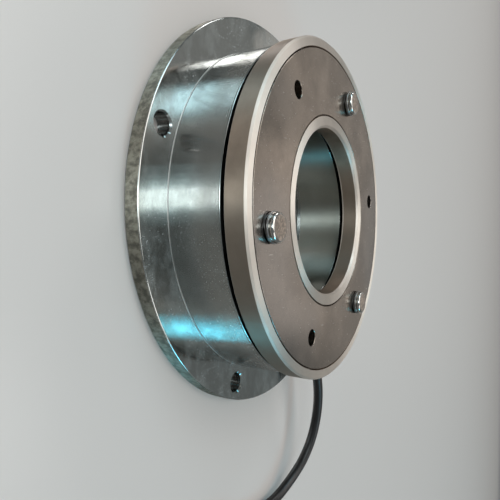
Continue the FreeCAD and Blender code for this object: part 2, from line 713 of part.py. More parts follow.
def coil_section():
    """The corners round the stored coil's turns, out from its axis and up: two turns below, one on top."""
    cut_share = 0.6
    half = "cable_diameter / 2"
    middle = "coil_middle_diameter / 2"
    spread = f"(turn_spacing / 2 + {half})"
    stack = f"(sqrt(turn_spacing ^ 2 - (turn_spacing / 2) ^ 2) + cable_diameter)"
    cut = f"({half} * {cut_share})"
    shoulder = f"({half} + {cut})"
    return [
        (f"{middle} - {spread} + {cut}", "0"),
        (f"{middle} + {spread} - {cut}", "0"),
        (f"{middle} + {spread}", cut),
        (f"{middle} + {spread}", shoulder),
        (f"{middle} + {cut}", stack),
        (f"{middle} - {cut}", stack),
        (f"{middle} - {spread}", shoulder),
        (f"{middle} - {spread}", cut),
    ]


def make_cable_coil():
    """One closed ring with the outer shape of the stored turns."""
    body = turned("cable_coil", coil_section())
    place(body, level="coil_lift", x="coil_x", y="coil_y")


def make_cable_tie():
    """Strap round the coil's section, with its buckle outside."""
    width = size("tie_width")
    near = -width / 2
    outline = [Vector(size(out), near, size(f"coil_lift + {up}")) for out, up in coil_section()]
    wire = Part.makePolygon(outline + outline[:1])
    gap = size("tie_gap")
    thickness = size("tie_thickness")
    inner = Part.Face(wire.makeOffset2D(gap, join=2))
    outer = Part.Face(wire.makeOffset2D(gap + thickness, join=2))
    strap = outer.cut(inner).extrude(Vector(0, width, 0))
    buckle_depth, buckle_height, buckle_margin = 2.6, 4.0, 0.5
    outermost = max(corner.x for corner in outline)
    buckle_level = next(corner.z for corner in outline if corner.x == outermost)
    buckle_corner = Vector(outermost + gap + thickness, near - buckle_margin, buckle_level)
    buckle = Part.makeBox(buckle_depth, width + 2 * buckle_margin, buckle_height, buckle_corner)
    spot = Vector(size("coil_x"), size("coil_y"), 0)
    free_shape("cable_tie", strap.fuse(buckle), Placement(spot, Rotation(UP, size("tie_angle"))))


def make_cable_end():
    """The far end: off the coil onto the floor, two stripped cores, and a wire ferrule on each."""
    coil_centre = Vector(size("coil_x"), size("coil_y"), 0)
    route = [
        coil_centre + Vector(-31.0, -21.7, 8.0),
        coil_centre + Vector(-25.0, -29.6, 6.5),
        coil_centre + Vector(-16.5, -37.0, 4.5),
        coil_centre + Vector(-6.0, -41.5, 3.1),
        coil_centre + Vector(5.0, -42.5, 2.8),
    ]
    cord_tube("cable_tail", route, size("cable_diameter"))
    end = route[-1]
    heading = (route[-1] - route[-2]).normalize()
    sideways = UP.cross(heading).normalize()
    onward = sideways.cross(UP)
    core_lift = 0.45
    straight, landing, core_length = 6, 14, 22
    landing_spread, end_spread = 1.9, 3.2
    floor_line = Vector(end.x, end.y, size("core_diameter") / 2 + core_lift)
    for name, side in (("a", 1), ("b", -1)):
        offset = sideways * (side * size("core_spacing / 2"))
        core_route = [
            end + offset,
            end + offset + heading * straight,
            floor_line + offset * landing_spread + onward * landing,
            floor_line + offset * end_spread + onward * core_length,
        ]
        make_bare_core(name, core_route)


def make_bare_core(name, route):
    """One stripped core and the ferrule crimped on it."""
    core = size("core_diameter")
    edges, radii = route_edges(route)
    free_shape(f"stripped_core_{name}", pipe(edges, core))
    heading = (route[-1] - route[-2]).normalize()
    funnel_length, funnel_flare, barrel_length, barrel_wall = 3.0, 0.35, 6.0, 0.1
    funnel = Part.makeCone(core / 2 + funnel_flare, core / 2, funnel_length, route[-1], heading)
    barrel_start = route[-1] + heading * funnel_length
    barrel = Part.makeCylinder(core / 2 - barrel_wall, barrel_length, barrel_start, heading)
    free_shape(f"wire_ferrule_{name}", funnel.fuse(barrel))


def check_all():
    """Stops if any object failed or any sub-part is empty or not valid."""
    DOCUMENT.recompute()
    for item in DOCUMENT.Objects:
        if "Invalid" in item.State or "Error" in item.State:
            raise RuntimeError(f"{item.Label} is {item.State}")
    for item in sub_parts():
        shape = item.Shape
        if shape.isNull() or not shape.isValid() or not shape.Solids:
            raise RuntimeError(f"{item.Label} has no valid solid")


def sub_parts():
    """Every finished piece: bodies, rings and plain shapes, but not what they are made of."""
    kinds = ("PartDesign::Body", "Part::Cut", "Part::Feature")
    pieces = [item for item in DOCUMENT.Objects if item.TypeId in kinds]
    pieces += [item for item in DOCUMENT.Objects if item.Label == "cable_sheath_end"]
    return pieces


def write_parts():
    """Writes each sub-part to a file named after it."""
    os.makedirs("parts", exist_ok=True)
    for item in sub_parts():
        item.Shape.exportStep(os.path.join("parts", f"{item.Label}.step"))
        box = item.Shape.BoundBox
        print(f"{item.Label}: volume {item.Shape.Volume:.1f},",
              f"x {box.XMin:.2f} to {box.XMax:.2f}, y {box.YMin:.2f} to {box.YMax:.2f},",
              f"z {box.ZMin:.2f} to {box.ZMax:.2f}")


make_magnet_body()
make_coil()
make_friction_lining()
make_armature()
make_drive_plate()
for pin_number in range(1, int(size("pin_count")) + 1):
    make_pin_set(pin_number)
make_grommet()
make_sheath_end()
make_leads()
make_cable()
make_cable_coil()
make_cable_tie()
make_cable_end()
check_all()
write_parts()
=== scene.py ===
import math

import bmesh
import bpy
from mathutils import Matrix, Vector


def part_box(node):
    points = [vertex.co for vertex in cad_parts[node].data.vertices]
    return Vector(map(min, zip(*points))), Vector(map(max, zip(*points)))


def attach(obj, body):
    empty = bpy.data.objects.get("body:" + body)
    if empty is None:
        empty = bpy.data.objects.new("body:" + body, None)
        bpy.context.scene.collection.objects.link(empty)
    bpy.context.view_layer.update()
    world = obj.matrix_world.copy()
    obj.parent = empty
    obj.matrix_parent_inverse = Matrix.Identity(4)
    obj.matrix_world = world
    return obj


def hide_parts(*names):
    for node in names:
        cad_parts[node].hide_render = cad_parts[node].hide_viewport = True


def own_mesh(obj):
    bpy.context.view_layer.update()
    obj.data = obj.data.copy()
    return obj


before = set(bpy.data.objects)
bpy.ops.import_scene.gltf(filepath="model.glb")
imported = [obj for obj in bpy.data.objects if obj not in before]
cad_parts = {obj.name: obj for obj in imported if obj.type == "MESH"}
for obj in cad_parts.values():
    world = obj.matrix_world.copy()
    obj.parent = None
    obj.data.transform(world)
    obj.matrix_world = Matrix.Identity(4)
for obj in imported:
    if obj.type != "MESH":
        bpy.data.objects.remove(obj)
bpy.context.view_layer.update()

bl_info = {
    "name": "Electromagnetic brake",
    "version": (1, 0, 0),
    "blender": (4, 5, 0),
    "location": "View3D > Sidebar > Brake",
    "description": "Dresses a flange-mounted electromagnetic brake on its CAD frame",
    "category": "Add Mesh",
}

# Everything is in metres. +Z runs along the brake's axis, and the flange's back lies on the floor at Z = 0.
MM = 0.001
RING_STEPS = 288
PIN_STEPS = 72
HOLE_STEPS = 64
ARC_STEPS = 4
SHARP_EDGE = math.radians(40)


def reach(node):
    """How far a CAD node that is round about the axis reaches from it."""
    low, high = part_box(node)
    return (high[0] - low[0]) / 2


def span(node):
    """The lowest and the highest level of a CAD node."""
    low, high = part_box(node)
    return low[2], high[2]


POLE_FACE = span("magnet_body")[1]
ARMATURE_BACK, FRONT = span("armature")
PLATE_BACK = span("drive_plate")[0]
SPRING_LOW, SPRING_HIGH = span("spring_washer_1")
WASHER_LOW, WASHER_HIGH = span("flat_washer_1")
PIN_TOP = span("drive_pin_1")[1]

# What several pieces share. Drills run PAST the metal and are HOLE_EASE wider than what fits in them.
RECESS_FLOOR = PLATE_BACK - 0.05 * MM
BUSH_RADIUS = 5.25 * MM
TAIL_RADIUS = 3.0 * MM
HOLE_EASE = 0.02 * MM
PAST = 1.0 * MM
CORE_TONES = {"a": (0.50, 0.03, 0.02), "b": (0.03, 0.07, 0.32)}


# Node trees

class Value:
    """A socket of a node tree. Python arithmetic on it adds Math nodes to the tree."""

    def __init__(self, graph, socket):
        self.graph = graph
        self.socket = socket

    def __add__(self, other):
        return self.graph.math("ADD", self, other)

    def __sub__(self, other):
        return self.graph.math("SUBTRACT", self, other)

    def __rsub__(self, other):
        return self.graph.math("SUBTRACT", other, self)

    def __mul__(self, other):
        return self.graph.math("MULTIPLY", self, other)

    def __truediv__(self, other):
        return self.graph.math("DIVIDE", self, other)

    def __rtruediv__(self, other):
        return self.graph.math("DIVIDE", other, self)

    def __pow__(self, other):
        return self.graph.math("POWER", self, other)

    def __abs__(self):
        return self.graph.math("ABSOLUTE", self)

    __radd__ = __add__
    __rmul__ = __mul__


class Graph:
    """Adds nodes to a shader tree or a geometry tree."""

    def __init__(self, tree):
        self.tree = tree

    def node(self, kind, settings=(), inputs=(), output=0):
        """A node: its settings first, then the values or links of its sockets. Gives one of its outputs."""
        made = self.tree.nodes.new(kind)
        for name, setting in dict(settings).items():
            setattr(made, name, setting)
        for name, content in dict(inputs).items():
            if isinstance(content, Value):
                self.tree.links.new(content.socket, made.inputs[name])
            else:
                made.inputs[name].default_value = content
        return Value(self, made.outputs[output]) if len(made.outputs) else None

    def math(self, operation, *numbers):
        return self.node("ShaderNodeMath", {"operation": operation}, dict(enumerate(numbers)))

    def clip(self, number):
        """Keeps a number between 0 and 1."""
        return self.node("ShaderNodeClamp", {}, {"Value": number})

    def step(self, number, low, high):
        """Runs smoothly from 0 at low to 1 at high."""
        inputs = {"Value": number, "From Min": low, "From Max": high}
        return self.node("ShaderNodeMapRange", {"interpolation_type": "SMOOTHSTEP"}, inputs)

    def split(self, vector):
        """The three numbers of a vector."""
        first = self.node("ShaderNodeSeparateXYZ", {}, {0: vector})
        outputs = first.socket.node.outputs
        return first, Value(self, outputs[1]), Value(self, outputs[2])

    def join(self, x, y, z):
        """A vector of three numbers."""
        return self.node("ShaderNodeCombineXYZ", {}, {0: x, 1: y, 2: z})


class Finish(Graph):
    """A material's tree, with what the brake's finishes have in common."""

    def __init__(self, name):
        self.material = bpy.data.materials.new(name)
        self.material.use_nodes = True
        super().__init__(self.material.node_tree)
        self.tree.nodes.clear()
        self.spot = self.node("ShaderNodeTexCoord", output="Object")

    def blend(self, share, first, second):
        """Mixes two colours."""
        inputs = {0: share, 6: first, 7: second}
        return self.node("ShaderNodeMix", {"data_type": "RGBA"}, inputs, output=2)

    def coats(self, base, *coats):
        """Lays tones over a base colour, one after another, each with its share."""
        for share, tone in coats:
            base = self.blend(share, base, tone)
        return base

    def mottled(self, pattern, low, high, base, first, last):
        """A colour whose lightness runs from first to last as a pattern runs from low to high."""
        return self.blend(self.step(pattern, low, high), lighter(base, first), lighter(base, last))

    def between(self, number, low, high, soft):
        """1 between two values, with soft ends inside them."""
        return self.step(number, low, low + soft) * (1.0 - self.step(number, high - soft, high))

    def noise(self, place, scale, detail=3.0, rough=0.5):
        """Soft noise, as fine as scale says."""
        inputs = {"Scale": scale, "Detail": detail, "Roughness": rough, "Vector": place}
        return self.node("ShaderNodeTexNoise", {}, inputs)

    def placed(self, turn=(0, 0, 0), scale=(1, 1, 1)):
        """Object coordinates, turned and stretched."""
        return self.node("ShaderNodeMapping", {}, {"Vector": self.spot, "Rotation": turn, "Scale": scale})

    def scratches(self, turn, fine, long, low, high):
        """Thin light strokes along one direction."""
        return self.step(self.noise(self.placed(turn, (fine, long, long)), 1.0, 2.0), low, high)

    def upward(self):
        """How far the surface faces up the brake's axis, from -1 to 1."""
        return self.split(self.node("ShaderNodeTexCoord", output="Normal"))[2]

    def bump(self, height, strength, distance):
        inputs = {"Strength": strength, "Distance": distance, "Height": height}
        return self.node("ShaderNodeBump", {}, inputs)

    def shade(self, colour, rough, relief, more=()):
        """Ends the tree in a Principled shader, with more of its sockets where they are given."""
        sockets = {"Base Color": colour, "Roughness": self.clip(rough), "Normal": relief, **dict(more)}
        return self.end(self.node("ShaderNodeBsdfPrincipled", {}, sockets))

    def end(self, surface):
        """Ends the tree in a shader."""
        self.node("ShaderNodeOutputMaterial", {}, {"Surface": surface})
        return self.material


def rgb(colour):
    """A colour property as the four numbers that a socket takes."""
    return tuple(colour)[:3] + (1.0,)


def lighter(colour, amount):
    """A colour made lighter, or darker below 1."""
    return tuple(min(part * amount, 1.0) for part in colour[:3]) + (1.0,)


# Geometry trees

def new_tree(name, inputs):
    """A geometry tree with named inputs. Gives the tree's graph and its inputs by name."""
    tree = bpy.data.node_groups.new(name, "GeometryNodeTree")
    tree.interface.new_socket("Geometry", in_out="INPUT", socket_type="NodeSocketGeometry")
    for title, kind in inputs:
        tree.interface.new_socket(title, in_out="INPUT", socket_type=kind)
    tree.interface.new_socket("Geometry", in_out="OUTPUT", socket_type="NodeSocketGeometry")
    graph = Graph(tree)
    entry = graph.node("NodeGroupInput")
    titles = ["Geometry"] + [title for title, kind in inputs]
    return graph, {title: Value(graph, entry.socket.node.outputs[title]) for title in titles}


def end_tree(graph, geometry, material):
    """Realizes what the tree made and gives it its material."""
    plain = graph.node("GeometryNodeRealizeInstances", {}, {"Geometry": geometry})
    done = graph.node("GeometryNodeSetMaterial", {}, {"Geometry": plain, "Material": material})
    graph.node("NodeGroupOutput", {}, {0: done})
    return graph.tree


def spun_section():
    """Spins a half section, drawn with X outwards and Z up, about the vertical."""
    graph, given = new_tree("spun_section", [
        ("Steps", "NodeSocketInt"), ("Material", "NodeSocketMaterial")])
    rail_radius = 50 * MM
    weld_distance = 1e-6
    laid = {"Geometry": given["Geometry"], "Rotation": (math.pi / 2, 0, 0),
            "Translation": (-rail_radius, 0, 0)}
    section = graph.node("GeometryNodeTransform", {}, laid)
    profile = graph.node("GeometryNodeMeshToCurve", {}, {"Mesh": section})
    circle = {"Resolution": given["Steps"], "Radius": rail_radius}
    rail = graph.node("GeometryNodeCurvePrimitiveCircle", {}, circle)
    skin = graph.node("GeometryNodeCurveToMesh", {}, {"Curve": rail, "Profile Curve": profile})
    closed = graph.node("GeometryNodeMergeByDistance", {}, {"Geometry": skin, "Distance": weld_distance})
    return end_tree(graph, closed, given["Material"])


def ring_of_pieces():
    """Sets copies of a piece evenly round the brake's axis, each turned to face outwards."""
    graph, given = new_tree("ring_of_pieces", [
        ("Piece", "NodeSocketObject"), ("Count", "NodeSocketInt"), ("Circle radius", "NodeSocketFloat"),
        ("First angle", "NodeSocketFloat"), ("Material", "NodeSocketMaterial")])
    number = graph.node("GeometryNodeInputIndex")
    angle = number * (math.tau / given["Count"]) + given["First angle"]
    across = graph.math("COSINE", angle) * given["Circle radius"]
    along = graph.math("SINE", angle) * given["Circle radius"]
    spots = graph.node("GeometryNodePoints", {}, {
        "Count": given["Count"], "Position": graph.join(across, along, 0.0)})
    source = {"Object": given["Piece"], "As Instance": True}
    piece = graph.node("GeometryNodeObjectInfo", {}, source, "Geometry")
    copies = graph.node("GeometryNodeInstanceOnPoints", {}, {
        "Points": spots, "Instance": piece, "Rotation": graph.join(0.0, 0.0, angle)})
    return end_tree(graph, copies, given["Material"])


def wavy_ring():
    """A flat strip bent into a ring whose height runs in waves."""
    graph, given = new_tree("wavy_ring", [
        ("Inner radius", "NodeSocketFloat"), ("Outer radius", "NodeSocketFloat"),
        ("Strip", "NodeSocketFloat"), ("Height", "NodeSocketFloat"), ("Waves", "NodeSocketInt"),
        ("Low level", "NodeSocketFloat"), ("Material", "NodeSocketMaterial")])
    rail_steps = 96
    middle = (given["Inner radius"] + given["Outer radius"]) / 2
    width = given["Outer radius"] - given["Inner radius"]
    rail = graph.node("GeometryNodeCurvePrimitiveCircle", {}, {"Resolution": rail_steps, "Radius": middle})
    section = {"Width": width, "Height": given["Strip"]}
    strip = graph.node("GeometryNodeCurvePrimitiveQuadrilateral", {}, section)
    skin = graph.node("GeometryNodeCurveToMesh", {}, {"Curve": rail, "Profile Curve": strip})
    x, y = graph.split(graph.node("GeometryNodeInputPosition"))[:2]
    wave = graph.math("SINE", graph.math("ARCTAN2", y, x) * given["Waves"])
    lift = (given["Height"] - given["Strip"]) / 2 * (wave + 1.0) + given["Strip"] / 2 + given["Low level"]
    offset = graph.join(0.0, 0.0, lift)
    raised = graph.node("GeometryNodeSetPosition", {}, {"Geometry": skin, "Offset": offset})
    return end_tree(graph, raised, given["Material"])


# Meshes

def new_piece(name, data):
    piece = bpy.data.objects.new(name, data)
    bpy.context.scene.collection.objects.link(piece)
    return piece


def apply_tree(piece, tree, settings):
    """Runs a geometry tree on a piece and keeps its result as the piece's own mesh."""
    work = piece.modifiers.new(tree.name, "NODES")
    work.node_group = tree
    for item in tree.interface.items_tree:
        if item.in_out == "INPUT" and settings.get(item.name) is not None:
            work[item.identifier] = settings[item.name]
    settle(piece)


def settle(piece):
    """Keeps what a piece's modifiers make as its own mesh, with doubles merged and faces outwards."""
    weld_distance = 1e-7
    bpy.context.view_layer.update()
    made = bpy.data.meshes.new_from_object(piece.evaluated_get(bpy.context.evaluated_depsgraph_get()))
    piece.modifiers.clear()
    piece.data = made
    work = bmesh.new()
    work.from_mesh(made)
    bmesh.ops.remove_doubles(work, verts=work.verts, dist=weld_distance)
    bmesh.ops.recalc_face_normals(work, faces=work.faces)
    for face in work.faces:
        face.smooth = True
    for edge in work.edges:
        edge.smooth = edge.calc_face_angle(math.pi) < SHARP_EDGE
    work.to_mesh(made)
    work.free()


def rounded(corners, closed):
    """A half section as points: each corner is its radius, its level and how far it is rounded."""
    points = []
    count = len(corners)
    for number, (across, up, rounding) in enumerate(corners):
        corner = Vector((across, up))
        if rounding == 0 or (not closed and number in (0, count - 1)):
            points.append(corner)
            continue
        before = (Vector(corners[number - 1][:2]) - corner).normalized()
        after = (Vector(corners[(number + 1) % count][:2]) - corner).normalized()
        half = before.angle(after) / 2
        back = rounding / math.tan(half)
        centre = corner + (before + after).normalized() * (rounding / math.sin(half))
        start = corner + before * back - centre
        sweep = start.angle_signed(corner + after * back - centre)
        for share in range(ARC_STEPS + 1):
            turn = -sweep * share / ARC_STEPS
            points.append(centre + Matrix.Rotation(turn, 2) @ start)
    return points


def spin(name, corners, material, closed=True, steps=RING_STEPS):
    """A turned piece from the corners of its half section. An open section starts and ends on the axis."""
    points = rounded(corners, closed)
    edges = [(number, number + 1) for number in range(len(points) - 1)]
    if closed:
        edges.append((len(points) - 1, 0))
    section = bpy.data.meshes.new(name)
    section.from_pydata([(point.x, 0, point.y) for point in points], edges, [])
    piece = new_piece(name, section)
    apply_tree(piece, TREES["spun_section"], {"Steps": steps, "Material": material})
    return piece


def set_round(name, sample, count, circle, angle, material):
    """Copies a piece round the brake's axis as one mesh, and drops the sample."""
    ring = new_piece(name, bpy.data.meshes.new(name))
    apply_tree(ring, TREES["ring_of_pieces"], {
        "Piece": sample, "Count": count, "Circle radius": circle, "First angle": angle, "Material": material})
    bpy.data.objects.remove(sample)
    return ring


def drill(piece, cutters):
    """Cuts holes into a piece and drops the cutters."""
    for cutter in cutters:
        cut = piece.modifiers.new(cutter.name, "BOOLEAN")
        cut.operation = "DIFFERENCE"
        cut.solver = "EXACT"
        cut.object = cutter
    settle(piece)
    for cutter in cutters:
        bpy.data.objects.remove(cutter)


def hole_cutter(name, radius, low, high, mouth=0.0, mouth_level=0.0):
    """A drill: a straight shank, and above a level a cone and a wider shank where the hole has a mouth."""
    corners = [(0, low, 0), (radius, low, 0)]
    if mouth:
        corners += [(radius, mouth_level - mouth, 0), (radius + 2 * mouth, mouth_level + mouth, 0),
                    (radius + 2 * mouth, high, 0)]
    else:
        corners.append((radius, high, 0))
    corners.append((0, high, 0))
    return spin(name, corners, None, closed=False, steps=HOLE_STEPS)


def even_shading(piece):
    """Keeps large flat faces flat beside small roundings."""
    shading = piece.modifiers.new("even_shading", "WEIGHTED_NORMAL")
    shading.keep_sharp = True


def dress(piece, body, slot, *nodes):
    """Puts a finished piece on its body, in the place of CAD nodes. The slot it is given is not used."""
    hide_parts(*nodes)
    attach(piece, body)


# Sizes and colours

def length(name, default, text):
    return bpy.props.FloatProperty(name=name, description=text, default=default, min=0.0,
                                   unit="LENGTH", precision=5)


def tint(name, default, text):
    return bpy.props.FloatVectorProperty(name=name, description=text, default=default, min=0.0, max=1.0,
                                         size=3, subtype="COLOR")


def bearing(name, degrees, text):
    return bpy.props.FloatProperty(name=name, description=text, default=math.radians(degrees),
                                   unit="ROTATION")


def glow(name, default, text):
    return bpy.props.FloatProperty(name=name, description=text, default=default, min=0.0)


class BrakeSizes(bpy.types.PropertyGroup):
    flange_radius: length("Flange", reach("magnet_body"), "Outer radius of the mounting flange")
    flange_front: length("Flange front", 6.8 * MM, "Level of the flange's front face")
    flange_hole_radius: length("Flange hole", 4.5 * MM, "Radius of the flange's fixing holes")
    flange_hole_inset: length("Hole inset", 8.0 * MM, "Fixing holes in from the flange's rim")
    flange_hole_angle: bearing("Hole angle", -19.0, "First fixing hole, from +X")
    drum_radius: length("Drum", 79.0 * MM, "Outer radius of the drum")
    outer_pole_wall: length("Outer pole", 4.6 * MM, "Wall outside the coil pocket")
    inner_pole_wall: length("Inner pole", 7.2 * MM, "Wall inside the coil pocket")
    pocket_floor: length("Pocket floor", 12.4 * MM, "Level of the coil pocket's floor")
    magnet_bore: length("Magnet bore", 43.0 * MM, "Radius of the shaft passage")
    recess_radius: length("Centring recess", 50.0 * MM, "Radius of the recess in the flange's back")
    recess_depth: length("Recess depth", 5.5 * MM, "Depth of the recess in the flange's back")
    edge_rounding: length("Broken edges", 0.7 * MM, "Rounding of the magnet body's edges")
    armature_radius: length("Armature", reach("armature"), "Outer radius of the armature")
    armature_bore: length("Armature bore", 40.0 * MM, "Radius of the armature's bore")
    collar_width: length("Collar", 5.3 * MM, "Armature's collar inside the drive plate")
    rim_width: length("Rim", 4.3 * MM, "Armature's rim outside the drive plate")
    plate_gap: length("Plate gap", 0.65 * MM, "Groove each side of the drive plate")
    pin_circle: length("Pin circle", 62.0 * MM, "Radius on which the drive pins stand")
    pin_angle: bearing("Pin angle", 39.5, "First drive pin, from +X")
    pin_count: bpy.props.IntProperty(name="Pins", description="Drive pins round the plate", default=3, min=1)
    shoulder_radius: length("Pin shoulder", 4.0 * MM, "Drive pin where it slides in its bush")
    head_radius: length("Pin head", 6.0 * MM, "Drive pin's head")
    head_rounding: length("Head rounding", 1.2 * MM, "Rounding round the pin head's rim")
    plate_hole_radius: length("Plate hole", 3.8 * MM, "Radius of the drive plate's fixing holes")
    cable_radius: length("Cable", 2.75 * MM, "Radius of the cable's sheath")
    cable_angle: bearing("Cable angle", 24.0, "Where the cable leaves the drum, from +X")
    cable_level: length("Cable level", 19.0 * MM, "Level at which the cable leaves the drum")
    outlet_radius: length("Outlet", 4.6 * MM, "Radius of the grommet's hole in the drum")
    coil_x: length("Coil X", 190.0 * MM, "Centre of the stored cable")
    coil_y: bpy.props.FloatProperty(name="Coil Y", description="Centre of the stored cable",
                                    default=-38.0 * MM, unit="LENGTH")


class BrakeColours(bpy.types.PropertyGroup):
    turned: tint("Turned steel", (0.56, 0.57, 0.55), "Flange and drum")
    saw_cut: tint("Sawn rim", (0.38, 0.35, 0.29), "Rim of the flange")
    side: tint("Armature side", (0.47, 0.36, 0.285), "Outer wall of the armature")
    faced: tint("Faced steel", (0.90, 0.82, 0.745), "Rim and collar of the armature")
    plate: tint("Drive plate", (0.44, 0.37, 0.315), "Satin face of the drive plate")
    pin: tint("Drive pins", (0.60, 0.58, 0.55), "Polished sides of the pin heads")
    pin_top: tint("Pin tops", (0.54, 0.45, 0.385), "Worn flat tops of the pin heads")
    washer: tint("Washers", (0.42, 0.42, 0.42), "Flat washers and spring washers")
    bronze: tint("Bushes", (0.55, 0.42, 0.22), "Guide bushes")
    sheath: tint("Cable sheath", (0.012, 0.010, 0.010), "Sheath, grommet and tie")
    floor: tint("Floor", (0.66, 0.61, 0.585), "The studio's floor")


class BrakeStudio(bpy.types.PropertyGroup):
    overhead: glow("Overhead lamp", 1.9, "Radiance of the lamp above the brake")
    strips: glow("Strip lamps", 4.4, "Radiance of the strip lamps, before their shares")
    panel: glow("Side panels", 0.45, "Radiance of the side panels, before their shares")
    surround: glow("Surround", 0.155, "Radiance of the room")


# Finishes

METAL = {"Metallic": 1.0}
# Near-black painted shade, put on steel faces that look into the air gap.
GAP_SHADE = (0.03, 0.03, 0.03, 1.0)
LATHE_GLOSS_TURN = 0.25


def lathe_marks(finish, finest):
    """Where a spot of a turned piece lies, whether its face is flat, and marks that run round the axis."""
    x, y, z = finish.split(finish.spot)
    radius = (x * x + y * y) ** 0.5
    flat = finish.step(abs(finish.upward()), 0.4, 0.7)
    across = radius * flat + z * (1.0 - flat)
    angle = finish.math("ARCTAN2", y, x)
    place = finish.join(across * finest, finish.math("COSINE", angle), finish.math("SINE", angle))
    return radius, z, flat, finish.noise(place, 1.0, 4.0)


def turned_steel(sizes, colours):
    """Bright turned steel: fine marks round the axis, smudges, dust and short scratches. The rim is sawn.
    Painted shade darkens the fixing holes' walls and the pole faces in the air gap, and a painted highlight
    runs round the drum's foot.
    """
    finish = Finish("turned_steel_finish")
    radius, z, flat, marks = lathe_marks(finish, 2600.0)
    wall = 1.0 - flat
    smudge = finish.noise(finish.placed((0, 0, 0.3), (75, 130, 90)), 1.0, 6.0, 0.65)
    cloud = finish.noise(finish.spot, 26.0)
    grain = finish.noise(finish.spot, 1900.0, 2.0)
    blocks = finish.noise(finish.placed((0, 0, 0), (380, 380, 280)), 1.0, 5.0, 0.65)
    haze = finish.step(smudge, 0.42, 0.66)
    dust = finish.step(finish.noise(finish.placed((0, 0, 0.4), (1500, 1000, 1500)), 1.0), 0.60, 0.70)
    strokes = (finish.scratches((0.2, 0.3, 0.9), 1500.0, 60.0, 0.69, 0.78)
               + finish.scratches((0.1, -0.4, -0.5), 1700.0, 80.0, 0.69, 0.78))
    worn = finish.clip(dust * 0.7 + strokes * 0.6) * finish.step(cloud, 0.42, 0.62)

    # Places on the magnet body.
    drum, rim, passage = sizes.drum_radius, sizes.flange_radius, sizes.magnet_bore
    # Walls above about 20 mm: browner and darker, rougher and grainier.
    upper_walls = finish.step(z + (cloud - 0.5) * (6.0 * MM), 15.0 * MM, 24.0 * MM) * wall
    # Walls of the flange's fixing holes: painted shade, a darker brown-grey.
    hole = finish.between(radius, drum + 1.5 * MM, rim - 1.0 * MM, 0.5 * MM) * wall
    # Narrow ring on the flange at the drum's foot: a painted highlight, pale and rougher.
    corner = finish.between(radius, drum - 0.1 * MM, drum + 0.45 * MM, 0.1 * MM) * flat
    bore = (1.0 - finish.step(radius, passage + 3.0 * MM, passage + 5.0 * MM)) * wall
    sawn = finish.step(radius, rim - 0.6 * MM, rim - 0.3 * MM) * wall
    # Pole faces across the air gap: painted shade, near black.
    hidden = finish.step(z, POLE_FACE - 0.2 * MM, POLE_FACE - 0.05 * MM) * flat

    # Tones below: dust, a painted highlight for the drum's foot, painted shade for the hole walls, and the
    # bore's own grey.
    dusty, bright, hole_shade, grey = (
        (0.80, 0.83, 0.86, 1.0), (0.80, 0.80, 0.78, 1.0), (0.12, 0.11, 0.10, 1.0), (0.34, 0.35, 0.30, 1.0))
    brown = finish.blend(finish.step(cloud, 0.40, 0.60), (0.20, 0.18, 0.15, 1.0), (0.40, 0.365, 0.305, 1.0))
    sawn_tone = finish.mottled(blocks, 0.35, 0.65, colours.saw_cut, 0.6, 1.35)
    metal = finish.coats(
        finish.mottled(smudge, 0.3, 0.7, colours.turned, 1.0, 0.78),
        (worn * 0.6, dusty), (upper_walls * 0.4, brown), (hole * 0.7, hole_shade), (corner * 0.8, bright),
        (bore * 0.7, grey), (sawn, sawn_tone), (hidden * 0.9, GAP_SHADE))
    smooth = (0.05 + marks * 0.03 + haze * 0.04 + worn * 0.10 + wall * (0.09 + marks * 0.03)
              + upper_walls * (0.03 + marks * 0.05) + bore * 0.20 + corner * 0.45)
    rough = smooth * (1.0 - sawn) + sawn * (0.60 + blocks * 0.2)
    turned_relief = marks * 0.25 + grain * (0.12 + upper_walls * 0.3)
    height = turned_relief * (1.0 - sawn) + sawn * blocks * 12.0 + worn * 0.05
    film = (worn * 0.5 + haze * flat * 0.26 + 0.01) * (1.0 - bore)
    return finish.shade(metal, rough, finish.bump(height, 0.25, 0.02 * MM), {
        "Metallic": 1.0 - film, "Anisotropic": 1.0, "Anisotropic Rotation": LATHE_GLOSS_TURN})


def armature_steel(colours):
    """Armature: brown-grey satin side wall and bore, pale faced rim and collar, and near-black painted shade
    on its back face in the air gap.
    """
    finish = Finish("armature_steel_finish")
    z, flat, marks = lathe_marks(finish, 2200.0)[1:]
    mottle = finish.noise(finish.spot, 60.0, 5.0, 0.6)
    cloud = finish.noise(finish.spot, 16.0, 2.0)
    streaks = finish.noise(finish.placed((0, 0, 0), (45, 45, 900)), 1.0)
    worn = finish.step(mottle, 0.35, 0.7)
    # Back face, in the air gap: near-black painted shade.
    back = 1.0 - finish.step(z, ARMATURE_BACK + 0.05 * MM, ARMATURE_BACK + 0.2 * MM)
    face = finish.blend(worn * 0.35, rgb(colours.faced), lighter(colours.faced, 0.7))
    metal = finish.coats(
        finish.mottled(mottle, 0.3, 0.7, colours.side, 0.82, 1.15),
        (finish.step(cloud, 0.40, 0.62) * 0.7, (0.30, 0.25, 0.205, 1.0)), (flat, face), (back * 0.9, GAP_SHADE))
    rough = 0.38 + marks * 0.10 + mottle * 0.08 + flat * 0.06 + streaks * 0.06
    height = marks * (0.5 + flat * 0.5) + mottle * 0.5
    return finish.shade(metal, rough, finish.bump(height, 0.3, 0.02 * MM), {
        **METAL, "Anisotropic": 0.8, "Anisotropic Rotation": LATHE_GLOSS_TURN})


